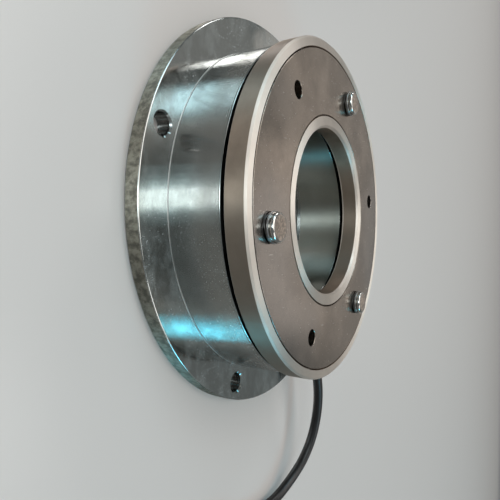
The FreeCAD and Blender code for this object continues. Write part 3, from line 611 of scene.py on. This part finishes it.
def plate_steel(colours):
    """Drive plate: satin rolled steel, slightly mottled, with fine bright specks."""
    finish = Finish("plate_steel_finish")
    grain = finish.noise(finish.placed((0, 0, 0.1), (420, 1500, 900)), 1.0, 4.0, 0.6)
    mottle = finish.noise(finish.spot, 38.0, 5.0, 0.6)
    cloud = finish.noise(finish.spot, 9.0, 2.0)
    specks = finish.step(finish.noise(finish.spot, 900.0, 2.0), 0.70, 0.76)
    strokes = finish.scratches((0, 0, 0.2), 1100.0, 120.0, 0.70, 0.76)
    grey, bright = (0.34, 0.335, 0.335, 1.0), (0.92, 0.89, 0.85, 1.0)
    metal = finish.coats(
        finish.mottled(mottle, 0.36, 0.64, colours.plate, 0.80, 1.16),
        (finish.step(cloud, 0.45, 0.62) * 0.5, grey), (finish.clip(specks + strokes) * 0.6, bright))
    rough = 0.13 + grain * 0.12 + mottle * 0.06 + specks * 0.2
    height = grain * 0.35 + mottle * 0.6 + specks * 0.4
    return finish.shade(metal, rough, finish.bump(height, 0.25, 0.02 * MM), METAL)


def pin_steel(colours):
    """Drive pins: polished round the head, worn brown on its flat top."""
    finish = Finish("pin_steel_finish")
    grit = finish.noise(finish.spot, 900.0, 4.0, 0.65)
    top = finish.step(finish.upward(), 0.985, 0.999)
    rust = finish.mottled(grit, 0.35, 0.7, colours.pin_top, 0.7, 1.5)
    metal = finish.blend(top, rgb(colours.pin), rust)
    relief = finish.bump(grit * (0.05 + top), 0.3, 0.03 * MM)
    return finish.shade(metal, 0.10 + grit * 0.06 + top * 0.24, relief, METAL)


def plain_metal(name, base, rough):
    """Satin metal with a fine grain: washers, bushes, copper and ferrules."""
    finish = Finish(name)
    grain = finish.noise(finish.spot, 1200.0, 4.0, 0.6)
    metal = finish.mottled(grain, 0.3, 0.7, base, 0.8, 1.15)
    return finish.shade(metal, rough + grain * 0.15, finish.bump(grain, 0.2, 0.01 * MM), METAL)


def plain_plastic(name, base, rough, spread=0.25, grain_scale=900.0, relief=0.25):
    """Moulded plastic, rubber, tape or resin with a faint grain and slightly uneven colour."""
    finish = Finish(name)
    grain = finish.noise(finish.spot, grain_scale, 4.0, 0.6)
    cloud = finish.noise(finish.spot, 90.0)
    tone = finish.mottled(cloud, 0.3, 0.7, base, 1.0 - spread, 1.0 + spread)
    return finish.shade(tone, rough + (grain - 0.5) * 0.2, finish.bump(grain, relief, 0.02 * MM))


def floor_finish(colours):
    """Plain pale studio floor, barely mottled. Where metal mirrors it, it acts as a polished table."""
    finish = Finish("studio_floor")
    cloud = finish.noise(finish.spot, 3.0)
    tone = finish.blend(cloud * 0.3, rgb(colours.floor), lighter(colours.floor, 0.95))
    matt = finish.node("ShaderNodeBsdfPrincipled", {}, {"Base Color": tone, "Roughness": 0.30, "IOR": 1.75})
    polished = finish.node("ShaderNodeBsdfPrincipled", {}, {
        "Base Color": (0.75, 0.75, 0.75, 1.0), "Metallic": 1.0, "Roughness": 0.06})
    mirrored = finish.node("ShaderNodeLightPath", output="Is Glossy Ray")
    return finish.end(finish.node("ShaderNodeMixShader", {}, {0: mirrored * 0.75, 1: matt, 2: polished}))


def paint_node(node, material):
    """Gives a CAD node its finish."""
    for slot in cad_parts[node].material_slots:
        slot.material = material


# Cable

def from_millimetres(points):
    return [Vector(point) * MM for point in points]


def outlet_line(sizes):
    """The cable's outward direction and the point where it leaves the grommet."""
    outward = Vector((math.cos(sizes.cable_angle), math.sin(sizes.cable_angle), 0))
    grommet_length = 10.0 * MM
    return outward, outward * (sizes.drum_radius + grommet_length) + Vector((0, 0, sizes.cable_level))


def between_stops(stops, where):
    """Reads a table of angles and amounts, straight between its rows."""
    for (start, first), (end, last) in zip(stops, stops[1:]):
        if where <= end:
            return first + (last - first) * (where - start) / (end - start)
    return stops[-1][1]


def coil_turns(sizes):
    """The stored turns: two side by side on the floor, the third on top, then out over the first."""
    radii = [(180, 38.5), (200, 36.6), (220, 34.7), (240, 33.5), (260, 33.0), (510, 33.0), (565, 27.3),
             (880, 27.3), (940, 30.2), (1180, 30.2), (1205, 31.4), (1225, 33.4), (1250, 35.6), (1270, 37.2),
             (1285, 38.0)]
    levels = [(180, 4.0), (845, 4.0), (890, 9.4), (915, 9.7), (945, 9.0), (1180, 9.0), (1205, 9.7),
              (1250, 10.0), (1270, 9.6), (1285, 8.7)]
    first, last, step = 200, 1280, 20
    points = []
    for angle in range(first, last + 1, step):
        turn = math.radians(angle)
        radius = between_stops(radii, angle) * MM
        points.append(Vector((sizes.coil_x + radius * math.cos(turn), sizes.coil_y + radius * math.sin(turn),
                              between_stops(levels, angle) * MM)))
    return points


def cable_route(sizes):
    """Out of the grommet, down to the floor, round the stored coil and off it."""
    outward, outlet = outlet_line(sizes)
    straight_start = 15.0 * MM
    free = from_millimetres([
        (112.2, 47.0, 17.6), (130.6, 46.7, 14.8), (144.6, 40.8, 11.2), (153.1, 31.7, 7.8),
        (159.1, 18.2, 5.2), (159.7, 4.3, 3.6), (156.4, -10.0, 2.9), (152.2, -24.3, 3.3), (151.5, -38.0, 4.0)])
    coil_centre = Vector((sizes.coil_x, sizes.coil_y, 0))
    tail = [coil_centre + point for point in from_millimetres([
        (-31.0, -21.7, 8.0), (-25.0, -29.6, 6.5), (-16.5, -37.0, 4.5), (-6.0, -41.5, 3.1),
        (5.0, -42.5, 2.8)])]
    return [outlet, outlet + outward * straight_start] + free + coil_turns(sizes) + tail


def cord_curve(name, points, radius, material):
    """A round cord on a smooth line near its points, closed at its ends."""
    line = bpy.data.curves.new(name, "CURVE")
    line.dimensions = "3D"
    line.bevel_depth = radius
    line.bevel_resolution = 6
    line.use_fill_caps = True
    line.resolution_u = 8
    spline = line.splines.new("NURBS")
    spline.points.add(len(points) - 1)
    for spot, point in zip(spline.points, points):
        spot.co = (*point, 1.0)
    spline.order_u = 3
    spline.use_endpoint_u = True
    line.materials.append(material)
    return new_piece(name, line)


def curve_length(piece):
    """How long a curve's own line is."""
    bare = piece.data.copy()
    bare.bevel_depth = 0
    sample = new_piece("length_sample", bare)
    mesh = bpy.data.meshes.new_from_object(sample)
    spots = [vertex.co for vertex in mesh.vertices]
    bpy.data.objects.remove(sample)
    return sum((after - before).length for before, after in zip(spots, spots[1:]))


# Operators

class BRAKE_OT_studio(bpy.types.Operator):
    """Camera at the photograph's angle, pale floor, room and lamps"""
    bl_idname = "brake.studio"
    bl_label = "Studio"

    def execute(self, context):
        scene = context.scene
        studio = scene.brake_studio
        scene.view_settings.view_transform = "Standard"
        self.add_camera(scene)
        self.add_floor(scene.brake_colours)
        self.add_room(scene, studio.surround)
        lamp("overhead", Vector((-0.85, 0.1, 2.6)), (2.5, 2.5), studio.overhead, (1.0, 0.96, 0.92))
        for name, bearings, elevations, colour, share in (
                ("left_strip", (173.0, 199.0), (28.0, 52.0), (0.60, 0.88, 1.0), 0.8),
                ("front_strip", (-104.5, -91.5), (28.0, 58.0), (0.92, 0.99, 1.0), 0.50),
                ("front_edge", (-107.5, -89.5), (28.0, 58.0), (0.84, 0.97, 1.0), 0.30),
                ("front_glow", (-111.0, -87.5), (28.0, 56.0), (0.76, 0.95, 1.0), 0.18),
                ("front_haze", (-115.0, -85.0), (28.0, 54.0), (0.70, 0.93, 1.0), 0.09),
                ("front_fade", (-121.0, -80.0), (28.0, 52.0), (0.64, 0.91, 1.0), 0.07),
                ("right_strip", (-2.0, 12.4), (28.0, 46.0), (0.11, 0.72, 1.0), 1.5),
                ("right_glow", (-16.0, 24.0), (28.0, 48.0), (0.9, 1.0, 1.0), 0.08),
                ("right_top", (-15.0, 60.0), (54.0, 72.0), (1.0, 0.98, 0.95), 0.40),
                ("window", (138.0, 152.0), (24.0, 33.0), (1.0, 1.0, 1.0), 1.8)):
            strip_lamp(name, bearings, elevations, studio.strips * share, colour)
        for name, bearings, elevations, share in (
                ("side_panel", (77.0, 105.0), (26.0, 34.0), 1.5),
                ("side_panel_far", (105.0, 120.0), (20.0, 28.0), 0.8),
                ("side_panel_high", (110.0, 128.0), (28.0, 40.0), 0.22),
                ("side_panel_low", (74.0, 105.0), (20.0, 26.0), 0.5),
                ("side_panel_foot", (45.0, 130.0), (0.5, 20.0), 0.36)):
            strip_lamp(name, bearings, elevations, studio.panel * share, (1.0, 0.92, 0.85))
        return {"FINISHED"}

    def add_camera(self, scene):
        """The camera looks down past the flange's rim and is rolled, so that -X is up in its picture."""
        right = Vector((-0.013888, 0.514819, 0.857186))
        up = Vector((-0.999869, 0.0, -0.016199))
        forward = Vector((0.008340, 0.857299, -0.514751))
        place = Vector((17.308, -216.256, 126.124)) * MM
        camera = bpy.data.cameras.new("photo_camera")
        camera.lens = 33.73
        camera.sensor_width = 36.0
        camera.clip_start = 0.01
        body = bpy.data.objects.new("photo_camera", camera)
        turn = Matrix((right, up, -forward)).transposed()
        body.matrix_world = Matrix.Translation(place) @ turn.to_4x4()
        scene.collection.objects.link(body)
        scene.camera = body

    def add_floor(self, colours):
        half = 3.0
        corners = [(-half, -half, 0), (half, -half, 0), (half, half, 0), (-half, half, 0)]
        mesh = bpy.data.meshes.new("studio_floor")
        mesh.from_pydata(corners, [], [(0, 1, 2, 3)])
        mesh.materials.append(floor_finish(colours))
        new_piece("studio_floor", mesh)

    def add_room(self, scene, surround):
        """An even room round the floor."""
        world = bpy.data.worlds.new("studio_room")
        world.use_nodes = True
        world.node_tree.nodes.clear()
        room = Graph(world.node_tree)
        tone = (0.92, 1.0, 1.0, 1.0)
        light = room.node("ShaderNodeBackground", {}, {"Color": tone, "Strength": surround})
        room.node("ShaderNodeOutputWorld", {}, {"Surface": light})
        scene.world = world


def lamp(name, place, size, radiance, colour):
    """A soft rectangular lamp of an even radiance that faces the brake."""
    data = bpy.data.lights.new(name, "AREA")
    data.shape = "RECTANGLE"
    data.size, data.size_y = size
    data.color = colour
    data.energy = radiance * math.pi * size[0] * size[1]
    body = bpy.data.objects.new(name, data)
    middle_of_brake = Vector((0, 0, 20 * MM))
    aim = middle_of_brake - place
    body.matrix_world = Matrix.Translation(place) @ aim.to_track_quat("-Z", "Y").to_matrix().to_4x4()
    bpy.context.scene.collection.objects.link(body)


def strip_lamp(name, bearings, elevations, radiance, colour):
    """A lamp that fills a range of bearings and elevations as the brake sees them."""
    distance = 2.6
    turn = math.radians(sum(bearings) / 2)
    rise = math.radians(sum(elevations) / 2)
    direction = Vector((math.cos(turn) * math.cos(rise), math.sin(turn) * math.cos(rise), math.sin(rise)))
    width = 2 * distance * math.cos(rise) * math.tan(math.radians(bearings[1] - bearings[0]) / 2)
    height = 2 * distance * math.tan(math.radians(elevations[1] - elevations[0]) / 2)
    lamp(name, direction * distance, (width, height), radiance, colour)


class BRAKE_OT_cable(bpy.types.Operator):
    """Cable with its stored coil, and its two stripped cores with wire ferrules"""
    bl_idname = "brake.cable"
    bl_label = "Cable"

    def execute(self, context):
        sizes, colours = context.scene.brake_sizes, context.scene.brake_colours
        sheath = plain_plastic("cable_sheath_finish", colours.sheath, 0.36, 0.3, 1500.0, 0.15)
        tin = plain_metal("tinned_copper_finish", (0.72, 0.72, 0.70), 0.2)
        route = cable_route(sizes)
        cable = cord_curve("dressed_cable", route, sizes.cable_radius, sheath)
        ends = []
        for name, side in (("a", 1), ("b", -1)):
            insulation = plain_plastic(f"core_{name}_finish", CORE_TONES[name], 0.4, 0.15)
            ends += self.add_wire(name, route, side, insulation, tin)
        dress(cable, "magnet", "cable_sheath", "cable", "cable_coil", "cable_tail")
        curve_length(cable)
        return {"FINISHED"}

    def add_wire(self, name, route, side, insulation, tin):
        """One stripped core, bent down to the floor, and the ferrule on it."""
        core_radius, half_spacing, core_lift = 0.7 * MM, 1.1 * MM, 0.45 * MM
        end = route[-1]
        heading = (route[-1] - route[-2]).normalized()
        sideways = Vector((0, 0, 1)).cross(heading).normalized()
        onward = sideways.cross(Vector((0, 0, 1)))
        offset = sideways * side * half_spacing
        on_floor = Vector((end.x, end.y, core_radius + core_lift))
        tucked, straight, landing, bare_end = (part * MM for part in (2, 6, 14, 22))
        landing_spread, end_spread = 1.9, 3.2
        points = [end + offset - heading * tucked, end + offset + heading * straight,
                  on_floor + offset * landing_spread + onward * landing,
                  on_floor + offset * end_spread + onward * bare_end]
        core = cord_curve(f"dressed_core_{name}", points, core_radius, insulation)
        direction = (points[3] - points[2]).normalized()
        flare, wall, lip, collar_end, tip = (part * MM for part in (1.05, 0.6, 0.25, 3.0, 9.0))
        ferrule = spin(f"dressed_ferrule_{name}", [
            (0, 0, 0), (flare, 0, lip / 4), (flare, lip, lip / 4), (core_radius, collar_end, 0),
            (wall, collar_end + 0.05 * MM, 0), (wall, tip, 0.1 * MM), (0, tip, 0)],
            tin, closed=False, steps=32)
        turn = direction.to_track_quat("Z", "Y").to_matrix().to_4x4()
        ferrule.data.transform(Matrix.Translation(points[3]) @ turn)
        dress(core, "magnet", "core_red" if side > 0 else "core_blue", f"stripped_core_{name}")
        dress(ferrule, "magnet", "tinned_copper", f"wire_ferrule_{name}")
        return [core, ferrule]


class BRAKE_OT_cable_tie(bpy.types.Operator):
    """Strap and buckle that hold the stored coil"""
    bl_idname = "brake.cable_tie"
    bl_label = "Cable tie"

    def execute(self, context):
        sizes = context.scene.brake_sizes
        nylon = plain_plastic("tie_nylon_finish", (0.03, 0.03, 0.03), 0.42, 0.2)
        tie_angle, width, thickness = math.radians(60), 5.0 * MM, 0.9 * MM
        low, inner, outer, shoulder, top, cut = (part * MM for part in (1.0, 24.2, 35.8, 5.9, 11.85, 1.7))
        low_bend, top_bend = 1.0 * MM, 1.5 * MM
        middle = (inner + outer) / 2
        loop = rounded([
            (inner + cut, low, low_bend), (outer - cut, low, low_bend), (outer, low + cut, low_bend),
            (outer, shoulder, top_bend), (middle + cut, top, top_bend), (middle - cut, top, top_bend),
            (inner, shoulder, top_bend), (inner, low + cut, low_bend)], True)
        count = len(loop)
        spots = [(point.x, side * width / 2, point.y) for side in (-1, 1) for point in loop]
        faces = [(number, (number + 1) % count, count + (number + 1) % count, count + number)
                 for number in range(count)]
        band = bpy.data.meshes.new("dressed_tie")
        band.from_pydata(spots, [], faces)
        band.materials.append(nylon)
        tie = new_piece("dressed_tie", band)
        wall = tie.modifiers.new("wall", "SOLIDIFY")
        wall.thickness = thickness
        wall.offset = -1.0
        wall.use_even_offset = True
        settle(tie)
        self.add_buckle(tie, outer + thickness, low + cut, width)
        place = Matrix.Translation((sizes.coil_x, sizes.coil_y, 0))
        tie.data.transform(place @ Matrix.Rotation(tie_angle, 4, "Z"))
        dress(tie, "magnet", "tie_nylon", "cable_tie")
        return {"FINISHED"}

    def add_buckle(self, tie, across, low, width):
        """The buckle, with the strap's short end standing out of it."""
        work = bmesh.new()
        work.from_mesh(tie.data)
        for size, place, rounding in (
                ((2.5 * MM, width + 1.0 * MM, 4.0 * MM), (across + 1.2 * MM, 0, low + 2.0 * MM), 0.5 * MM),
                ((0.9 * MM, width * 0.8, 5.6 * MM), (across + 1.3 * MM, 0, low + 3.2 * MM), 0.2 * MM)):
            made = bmesh.ops.create_cube(work, size=1.0)["verts"]
            bmesh.ops.scale(work, vec=size, verts=made)
            bmesh.ops.translate(work, vec=place, verts=made)
            edges = list({edge for vert in made for edge in vert.link_edges})
            bmesh.ops.bevel(work, geom=edges, offset=rounding, segments=3, affect="EDGES", profile=0.5)
        for face in work.faces:
            face.smooth = True
        work.to_mesh(tie.data)
        work.free()


class BRAKE_OT_magnet_body(bpy.types.Operator):
    """Flange and drum, turned from one piece and drilled"""
    bl_idname = "brake.magnet_body"
    bl_label = "Magnet body"

    def execute(self, context):
        sizes = context.scene.brake_sizes
        steel = turned_steel(sizes, context.scene.brake_colours)
        edge = sizes.edge_rounding
        corner_fillet = 0.35 * MM
        pocket_outside = sizes.drum_radius - sizes.outer_pole_wall
        pocket_inside = sizes.magnet_bore + sizes.inner_pole_wall
        body = spin("dressed_magnet_body", [
            (sizes.magnet_bore, sizes.recess_depth, edge),
            (sizes.recess_radius, sizes.recess_depth, 0),
            (sizes.recess_radius, 0, edge),
            (sizes.flange_radius, 0, edge),
            (sizes.flange_radius, sizes.flange_front, edge),
            (sizes.drum_radius, sizes.flange_front, corner_fillet),
            (sizes.drum_radius, POLE_FACE, edge),
            (pocket_outside, POLE_FACE, 0),
            (pocket_outside, sizes.pocket_floor, 0),
            (pocket_inside, sizes.pocket_floor, 0),
            (pocket_inside, POLE_FACE, 0),
            (sizes.magnet_bore, POLE_FACE, edge)], steel)
        front = sizes.flange_front
        bit = hole_cutter("flange_bit", sizes.flange_hole_radius, -PAST, front + 2 * PAST, edge, front)
        hole_count, circle = 4, sizes.flange_radius - sizes.flange_hole_inset
        holes = set_round("flange_holes", bit, hole_count, circle, sizes.flange_hole_angle, None)
        outlet = hole_cutter("outlet_bit", sizes.outlet_radius, pocket_outside - 2 * PAST,
                             sizes.drum_radius + 2 * PAST)
        outlet.data.transform(along_cable(sizes))
        drill(body, [holes, outlet])
        even_shading(body)
        dress(body, "magnet", "turned_steel", "magnet_body")
        return {"FINISHED"}


def along_cable(sizes):
    """Lays what stands along +Z onto the line of the cable outlet."""
    lay = Matrix.Rotation(sizes.cable_angle, 4, "Z") @ Matrix.Rotation(math.pi / 2, 4, "Y")
    return Matrix.Translation((0, 0, sizes.cable_level)) @ lay


def pin_circle_holes(name, cutter, sizes, turn=0.0):
    """Sets a drill on the pins' circle, at each pin or turned away from it."""
    return set_round(name, cutter, sizes.pin_count, sizes.pin_circle, sizes.pin_angle + turn, None)


class BRAKE_OT_grommet(bpy.types.Operator):
    """Ribbed rubber grommet where the cable leaves the drum"""
    bl_idname = "brake.grommet"
    bl_label = "Cable grommet"

    def execute(self, context):
        sizes, colours = context.scene.brake_sizes, context.scene.brake_colours
        rubber = plain_plastic("grommet_rubber_finish", colours.sheath, 0.6, 0.3, 700.0, 0.3)
        bore, neck, flange, collar = (part * MM for part in (2.8, 4.55, 5.7, 7.0))
        rib_reach, rib_fall = 6.0 * MM, 1.8 * MM
        wall, drum, end = (part * MM for part in (74.13, 79.05, 89.0))
        seat, collar_end = wall - 1.2 * MM, drum + 2 * MM
        soft, rib_depth, rib_count = 0.3 * MM, 0.8 * MM, 3
        corners = [(bore, seat, 0), (flange, seat, soft), (flange, wall, soft), (neck, wall, 0),
                   (neck, drum, 0), (collar, drum, soft), (collar, collar_end, 2 * soft)]
        pitch = (end - collar_end) / rib_count
        for rib in range(rib_count):
            out = rib_reach - rib_fall * rib / rib_count
            root, start = out - rib_depth, collar_end + pitch * rib
            corners += [(root, start, soft / 2), (root, start + pitch / 2, soft / 2),
                        (out, start + pitch / 2, soft), (out, start + pitch, soft)]
        corners.append((bore, end, soft / 2))
        grommet = spin("dressed_grommet", corners, rubber, steps=HOLE_STEPS)
        grommet.data.transform(along_cable(sizes))
        dress(grommet, "magnet", "grommet_rubber", "cable_grommet")
        return {"FINISHED"}


class BRAKE_OT_armature(bpy.types.Operator):
    """Armature: rim, collar and recess turned from one disc, drilled for pins and screws"""
    bl_idname = "brake.armature"
    bl_label = "Armature"

    def execute(self, context):
        sizes = context.scene.brake_sizes
        steel = armature_steel(context.scene.brake_colours)
        soft = 0.12 * MM
        rim, bore = sizes.armature_radius, sizes.armature_bore
        recess_outside = rim - sizes.rim_width
        collar = bore + sizes.collar_width
        front, back, mouth = 0.85 * MM, 0.3 * MM, 1.0 * MM
        disc = spin("dressed_armature", [
            (bore, ARMATURE_BACK + mouth, soft), (bore + mouth, ARMATURE_BACK, soft),
            (rim - back, ARMATURE_BACK, soft / 2), (rim, ARMATURE_BACK + back, soft / 2),
            (rim, FRONT - front, soft), (rim - front, FRONT, soft),
            (recess_outside, FRONT, soft), (recess_outside, RECESS_FLOOR, 0),
            (collar, RECESS_FLOOR, 0), (collar, FRONT, soft),
            (bore + mouth, FRONT, soft), (bore, FRONT - mouth, soft)], steel)
        room_radius, rivet_height = 7.5 * MM, 0.5 * MM
        tail = hole_cutter("tail_bit", TAIL_RADIUS + HOLE_EASE, ARMATURE_BACK + rivet_height, FRONT)
        room = hole_cutter("room_bit", room_radius, ARMATURE_BACK - PAST, FRONT)
        drill(disc, [pin_circle_holes("tail_holes", tail, sizes),
                     pin_circle_holes("bolt_rooms", room, sizes, math.pi / sizes.pin_count)])
        even_shading(disc)
        dress(disc, "armature", "armature_steel", "armature")
        return {"FINISHED"}


class BRAKE_OT_drive_plate(bpy.types.Operator):
    """Drive plate that lies flush in the armature"""
    bl_idname = "brake.drive_plate"
    bl_label = "Drive plate"

    def execute(self, context):
        sizes = context.scene.brake_sizes
        steel = plate_steel(context.scene.brake_colours)
        soft, mouth = 0.25 * MM, 0.1 * MM
        outside = sizes.armature_radius - sizes.rim_width - sizes.plate_gap
        inside = sizes.armature_bore + sizes.collar_width + sizes.plate_gap
        plate = spin("dressed_drive_plate", [
            (inside, PLATE_BACK, soft), (outside, PLATE_BACK, soft),
            (outside, FRONT, soft), (inside, FRONT, soft)], steel)
        low, high = PLATE_BACK - PAST, FRONT + PAST
        bush = hole_cutter("bush_bit", BUSH_RADIUS + HOLE_EASE, low, high)
        screw = hole_cutter("screw_bit", sizes.plate_hole_radius, low, high, mouth, FRONT)
        drill(plate, [pin_circle_holes("bush_holes", bush, sizes),
                      pin_circle_holes("fixing_holes", screw, sizes, math.pi / sizes.pin_count)])
        even_shading(plate)
        dress(plate, "drive_plate", "plate_steel", "drive_plate")
        return {"FINISHED"}


class BRAKE_OT_drive_pins(bpy.types.Operator):
    """Drive pins with their flat washers, wavy spring washers and guide bushes"""
    bl_idname = "brake.drive_pins"
    bl_label = "Drive pins"

    def execute(self, context):
        sizes, colours = context.scene.brake_sizes, context.scene.brake_colours
        count, circle, angle = sizes.pin_count, sizes.pin_circle, sizes.pin_angle
        shoulder, head = sizes.shoulder_radius, sizes.head_radius
        rivet, soft, play = 4.5 * MM, 0.15 * MM, 0.05 * MM
        steel = pin_steel(colours)
        pin = spin("pin_sample", [
            (0, ARMATURE_BACK, 0), (rivet, ARMATURE_BACK, 0),
            (TAIL_RADIUS, ARMATURE_BACK + rivet - TAIL_RADIUS, 0), (TAIL_RADIUS, RECESS_FLOOR, 0),
            (shoulder, RECESS_FLOOR, 0), (shoulder, WASHER_HIGH, 0), (head, WASHER_HIGH, soft),
            (head, PIN_TOP, sizes.head_rounding), (0, PIN_TOP, 0)], steel, closed=False, steps=PIN_STEPS)
        pins = set_round("dressed_drive_pins", pin, count, circle, angle, steel)
        grey = plain_metal("washer_steel_finish", colours.washer, 0.28)
        bore, wide, strip = shoulder + 0.25 * MM, 6.3 * MM, 0.4 * MM
        flat = spin("washer_sample", [
            (bore, WASHER_LOW, 0), (wide, WASHER_LOW, soft), (wide, WASHER_HIGH, soft),
            (bore, WASHER_HIGH, 0)], grey, steps=PIN_STEPS)
        washers = set_round("dressed_flat_washers", flat, count, circle, angle, grey)
        dark = plain_metal("spring_steel_finish", lighter(colours.washer, 0.6), 0.3)
        wavy = new_piece("spring_sample", bpy.data.meshes.new("spring_sample"))
        apply_tree(wavy, TREES["wavy_ring"], {
            "Inner radius": bore, "Outer radius": wide - 0.2 * MM, "Strip": strip,
            "Height": SPRING_HIGH - SPRING_LOW, "Waves": 3, "Low level": SPRING_LOW, "Material": dark})
        springs = set_round("dressed_spring_washers", wavy, count, circle, angle, dark)
        bronze = plain_metal("bush_bronze_finish", colours.bronze, 0.3)
        inside = shoulder + play
        sleeve = spin("bush_sample", [
            (inside, PLATE_BACK, soft), (BUSH_RADIUS, PLATE_BACK, 0), (BUSH_RADIUS, FRONT, 0),
            (inside, FRONT, soft)], bronze, steps=PIN_STEPS)
        bushes = set_round("dressed_guide_bushes", sleeve, count, circle, angle, bronze)
        for piece, node, body, slot in (
                (pins, "drive_pin", "armature", "pin_steel"),
                (washers, "flat_washer", "armature", "washer_steel"),
                (springs, "spring_washer", "drive_plate", "spring_steel"),
                (bushes, "guide_bush", "drive_plate", "bush_bronze")):
            dress(piece, body, slot, *(f"{node}_{number}" for number in range(1, count + 1)))
        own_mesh(springs)
        return {"FINISHED"}


class BRAKE_OT_inner_parts(bpy.types.Operator):
    """Finishes for the coil, the lining, the leads and the other hidden parts"""
    bl_idname = "brake.inner_parts"
    bl_label = "Inner parts"

    def execute(self, context):
        sheath = context.scene.brake_colours.sheath
        copper = plain_metal("copper_wire_finish", (0.62, 0.30, 0.16), 0.35)
        red = plain_plastic("core_red_finish", CORE_TONES["a"], 0.4, 0.15)
        blue = plain_plastic("core_blue_finish", CORE_TONES["b"], 0.4, 0.15)
        white = plain_plastic("sleeve_plastic_finish", (0.78, 0.78, 0.75), 0.5, 0.08)
        lining = plain_plastic("friction_material_finish", (0.05, 0.05, 0.05), 0.8, 0.4, 500.0, 0.6)
        for node, material in (
                ("coil_bobbin", plain_plastic("bobbin_plastic_finish", (0.12, 0.12, 0.13), 0.5)),
                ("coil_winding", copper), ("coil_lead_a", copper), ("coil_lead_b", copper),
                ("coil_wrap", plain_plastic("wrap_tape_finish", (0.75, 0.62, 0.30), 0.6, 0.12)),
                ("resin_ring", plain_plastic("casting_resin_finish", (0.10, 0.09, 0.08), 0.2)),
                ("friction_lining", lining),
                ("cable_sheath_end", plain_plastic("sheath_end_finish", sheath, 0.36)),
                ("cable_core_a", red), ("cable_core_b", blue),
                ("splice_sleeve_a", white), ("splice_sleeve_b", white)):
            paint_node(node, material)
        return {"FINISHED"}


class BRAKE_PT_panel(bpy.types.Panel):
    """Lists the brake's steps, sizes, colours and lamps"""
    bl_idname = "BRAKE_PT_panel"
    bl_label = "Electromagnetic brake"
    bl_space_type = "VIEW_3D"
    bl_region_type = "UI"
    bl_category = "Brake"

    def draw(self, context):
        layout = self.layout
        for operator in OPERATORS:
            layout.operator(operator.bl_idname)
        for group in GROUPS:
            box = layout.box()
            for prop in GROUPS[group].__annotations__:
                box.prop(getattr(context.scene, group), prop)


OPERATORS = (BRAKE_OT_studio, BRAKE_OT_cable, BRAKE_OT_cable_tie, BRAKE_OT_magnet_body, BRAKE_OT_grommet,
             BRAKE_OT_armature, BRAKE_OT_drive_plate, BRAKE_OT_drive_pins, BRAKE_OT_inner_parts)
GROUPS = {"brake_sizes": BrakeSizes, "brake_colours": BrakeColours, "brake_studio": BrakeStudio}
TREES = {}


def register():
    for kind in (*GROUPS.values(), *OPERATORS, BRAKE_PT_panel):
        bpy.utils.register_class(kind)
    for name, group in GROUPS.items():
        setattr(bpy.types.Scene, name, bpy.props.PointerProperty(type=group))


def unregister():
    for name in GROUPS:
        delattr(bpy.types.Scene, name)
    for kind in (BRAKE_PT_panel, *reversed(OPERATORS), *GROUPS.values()):
        bpy.utils.unregister_class(kind)


def main():
    register()
    for make in (spun_section, ring_of_pieces, wavy_ring):
        tree = make()
        TREES[tree.name] = tree
    for operator in OPERATORS:
        family, name = operator.bl_idname.split(".")
        getattr(getattr(bpy.ops, family), name)()


if __name__ == "__main__":
    main()
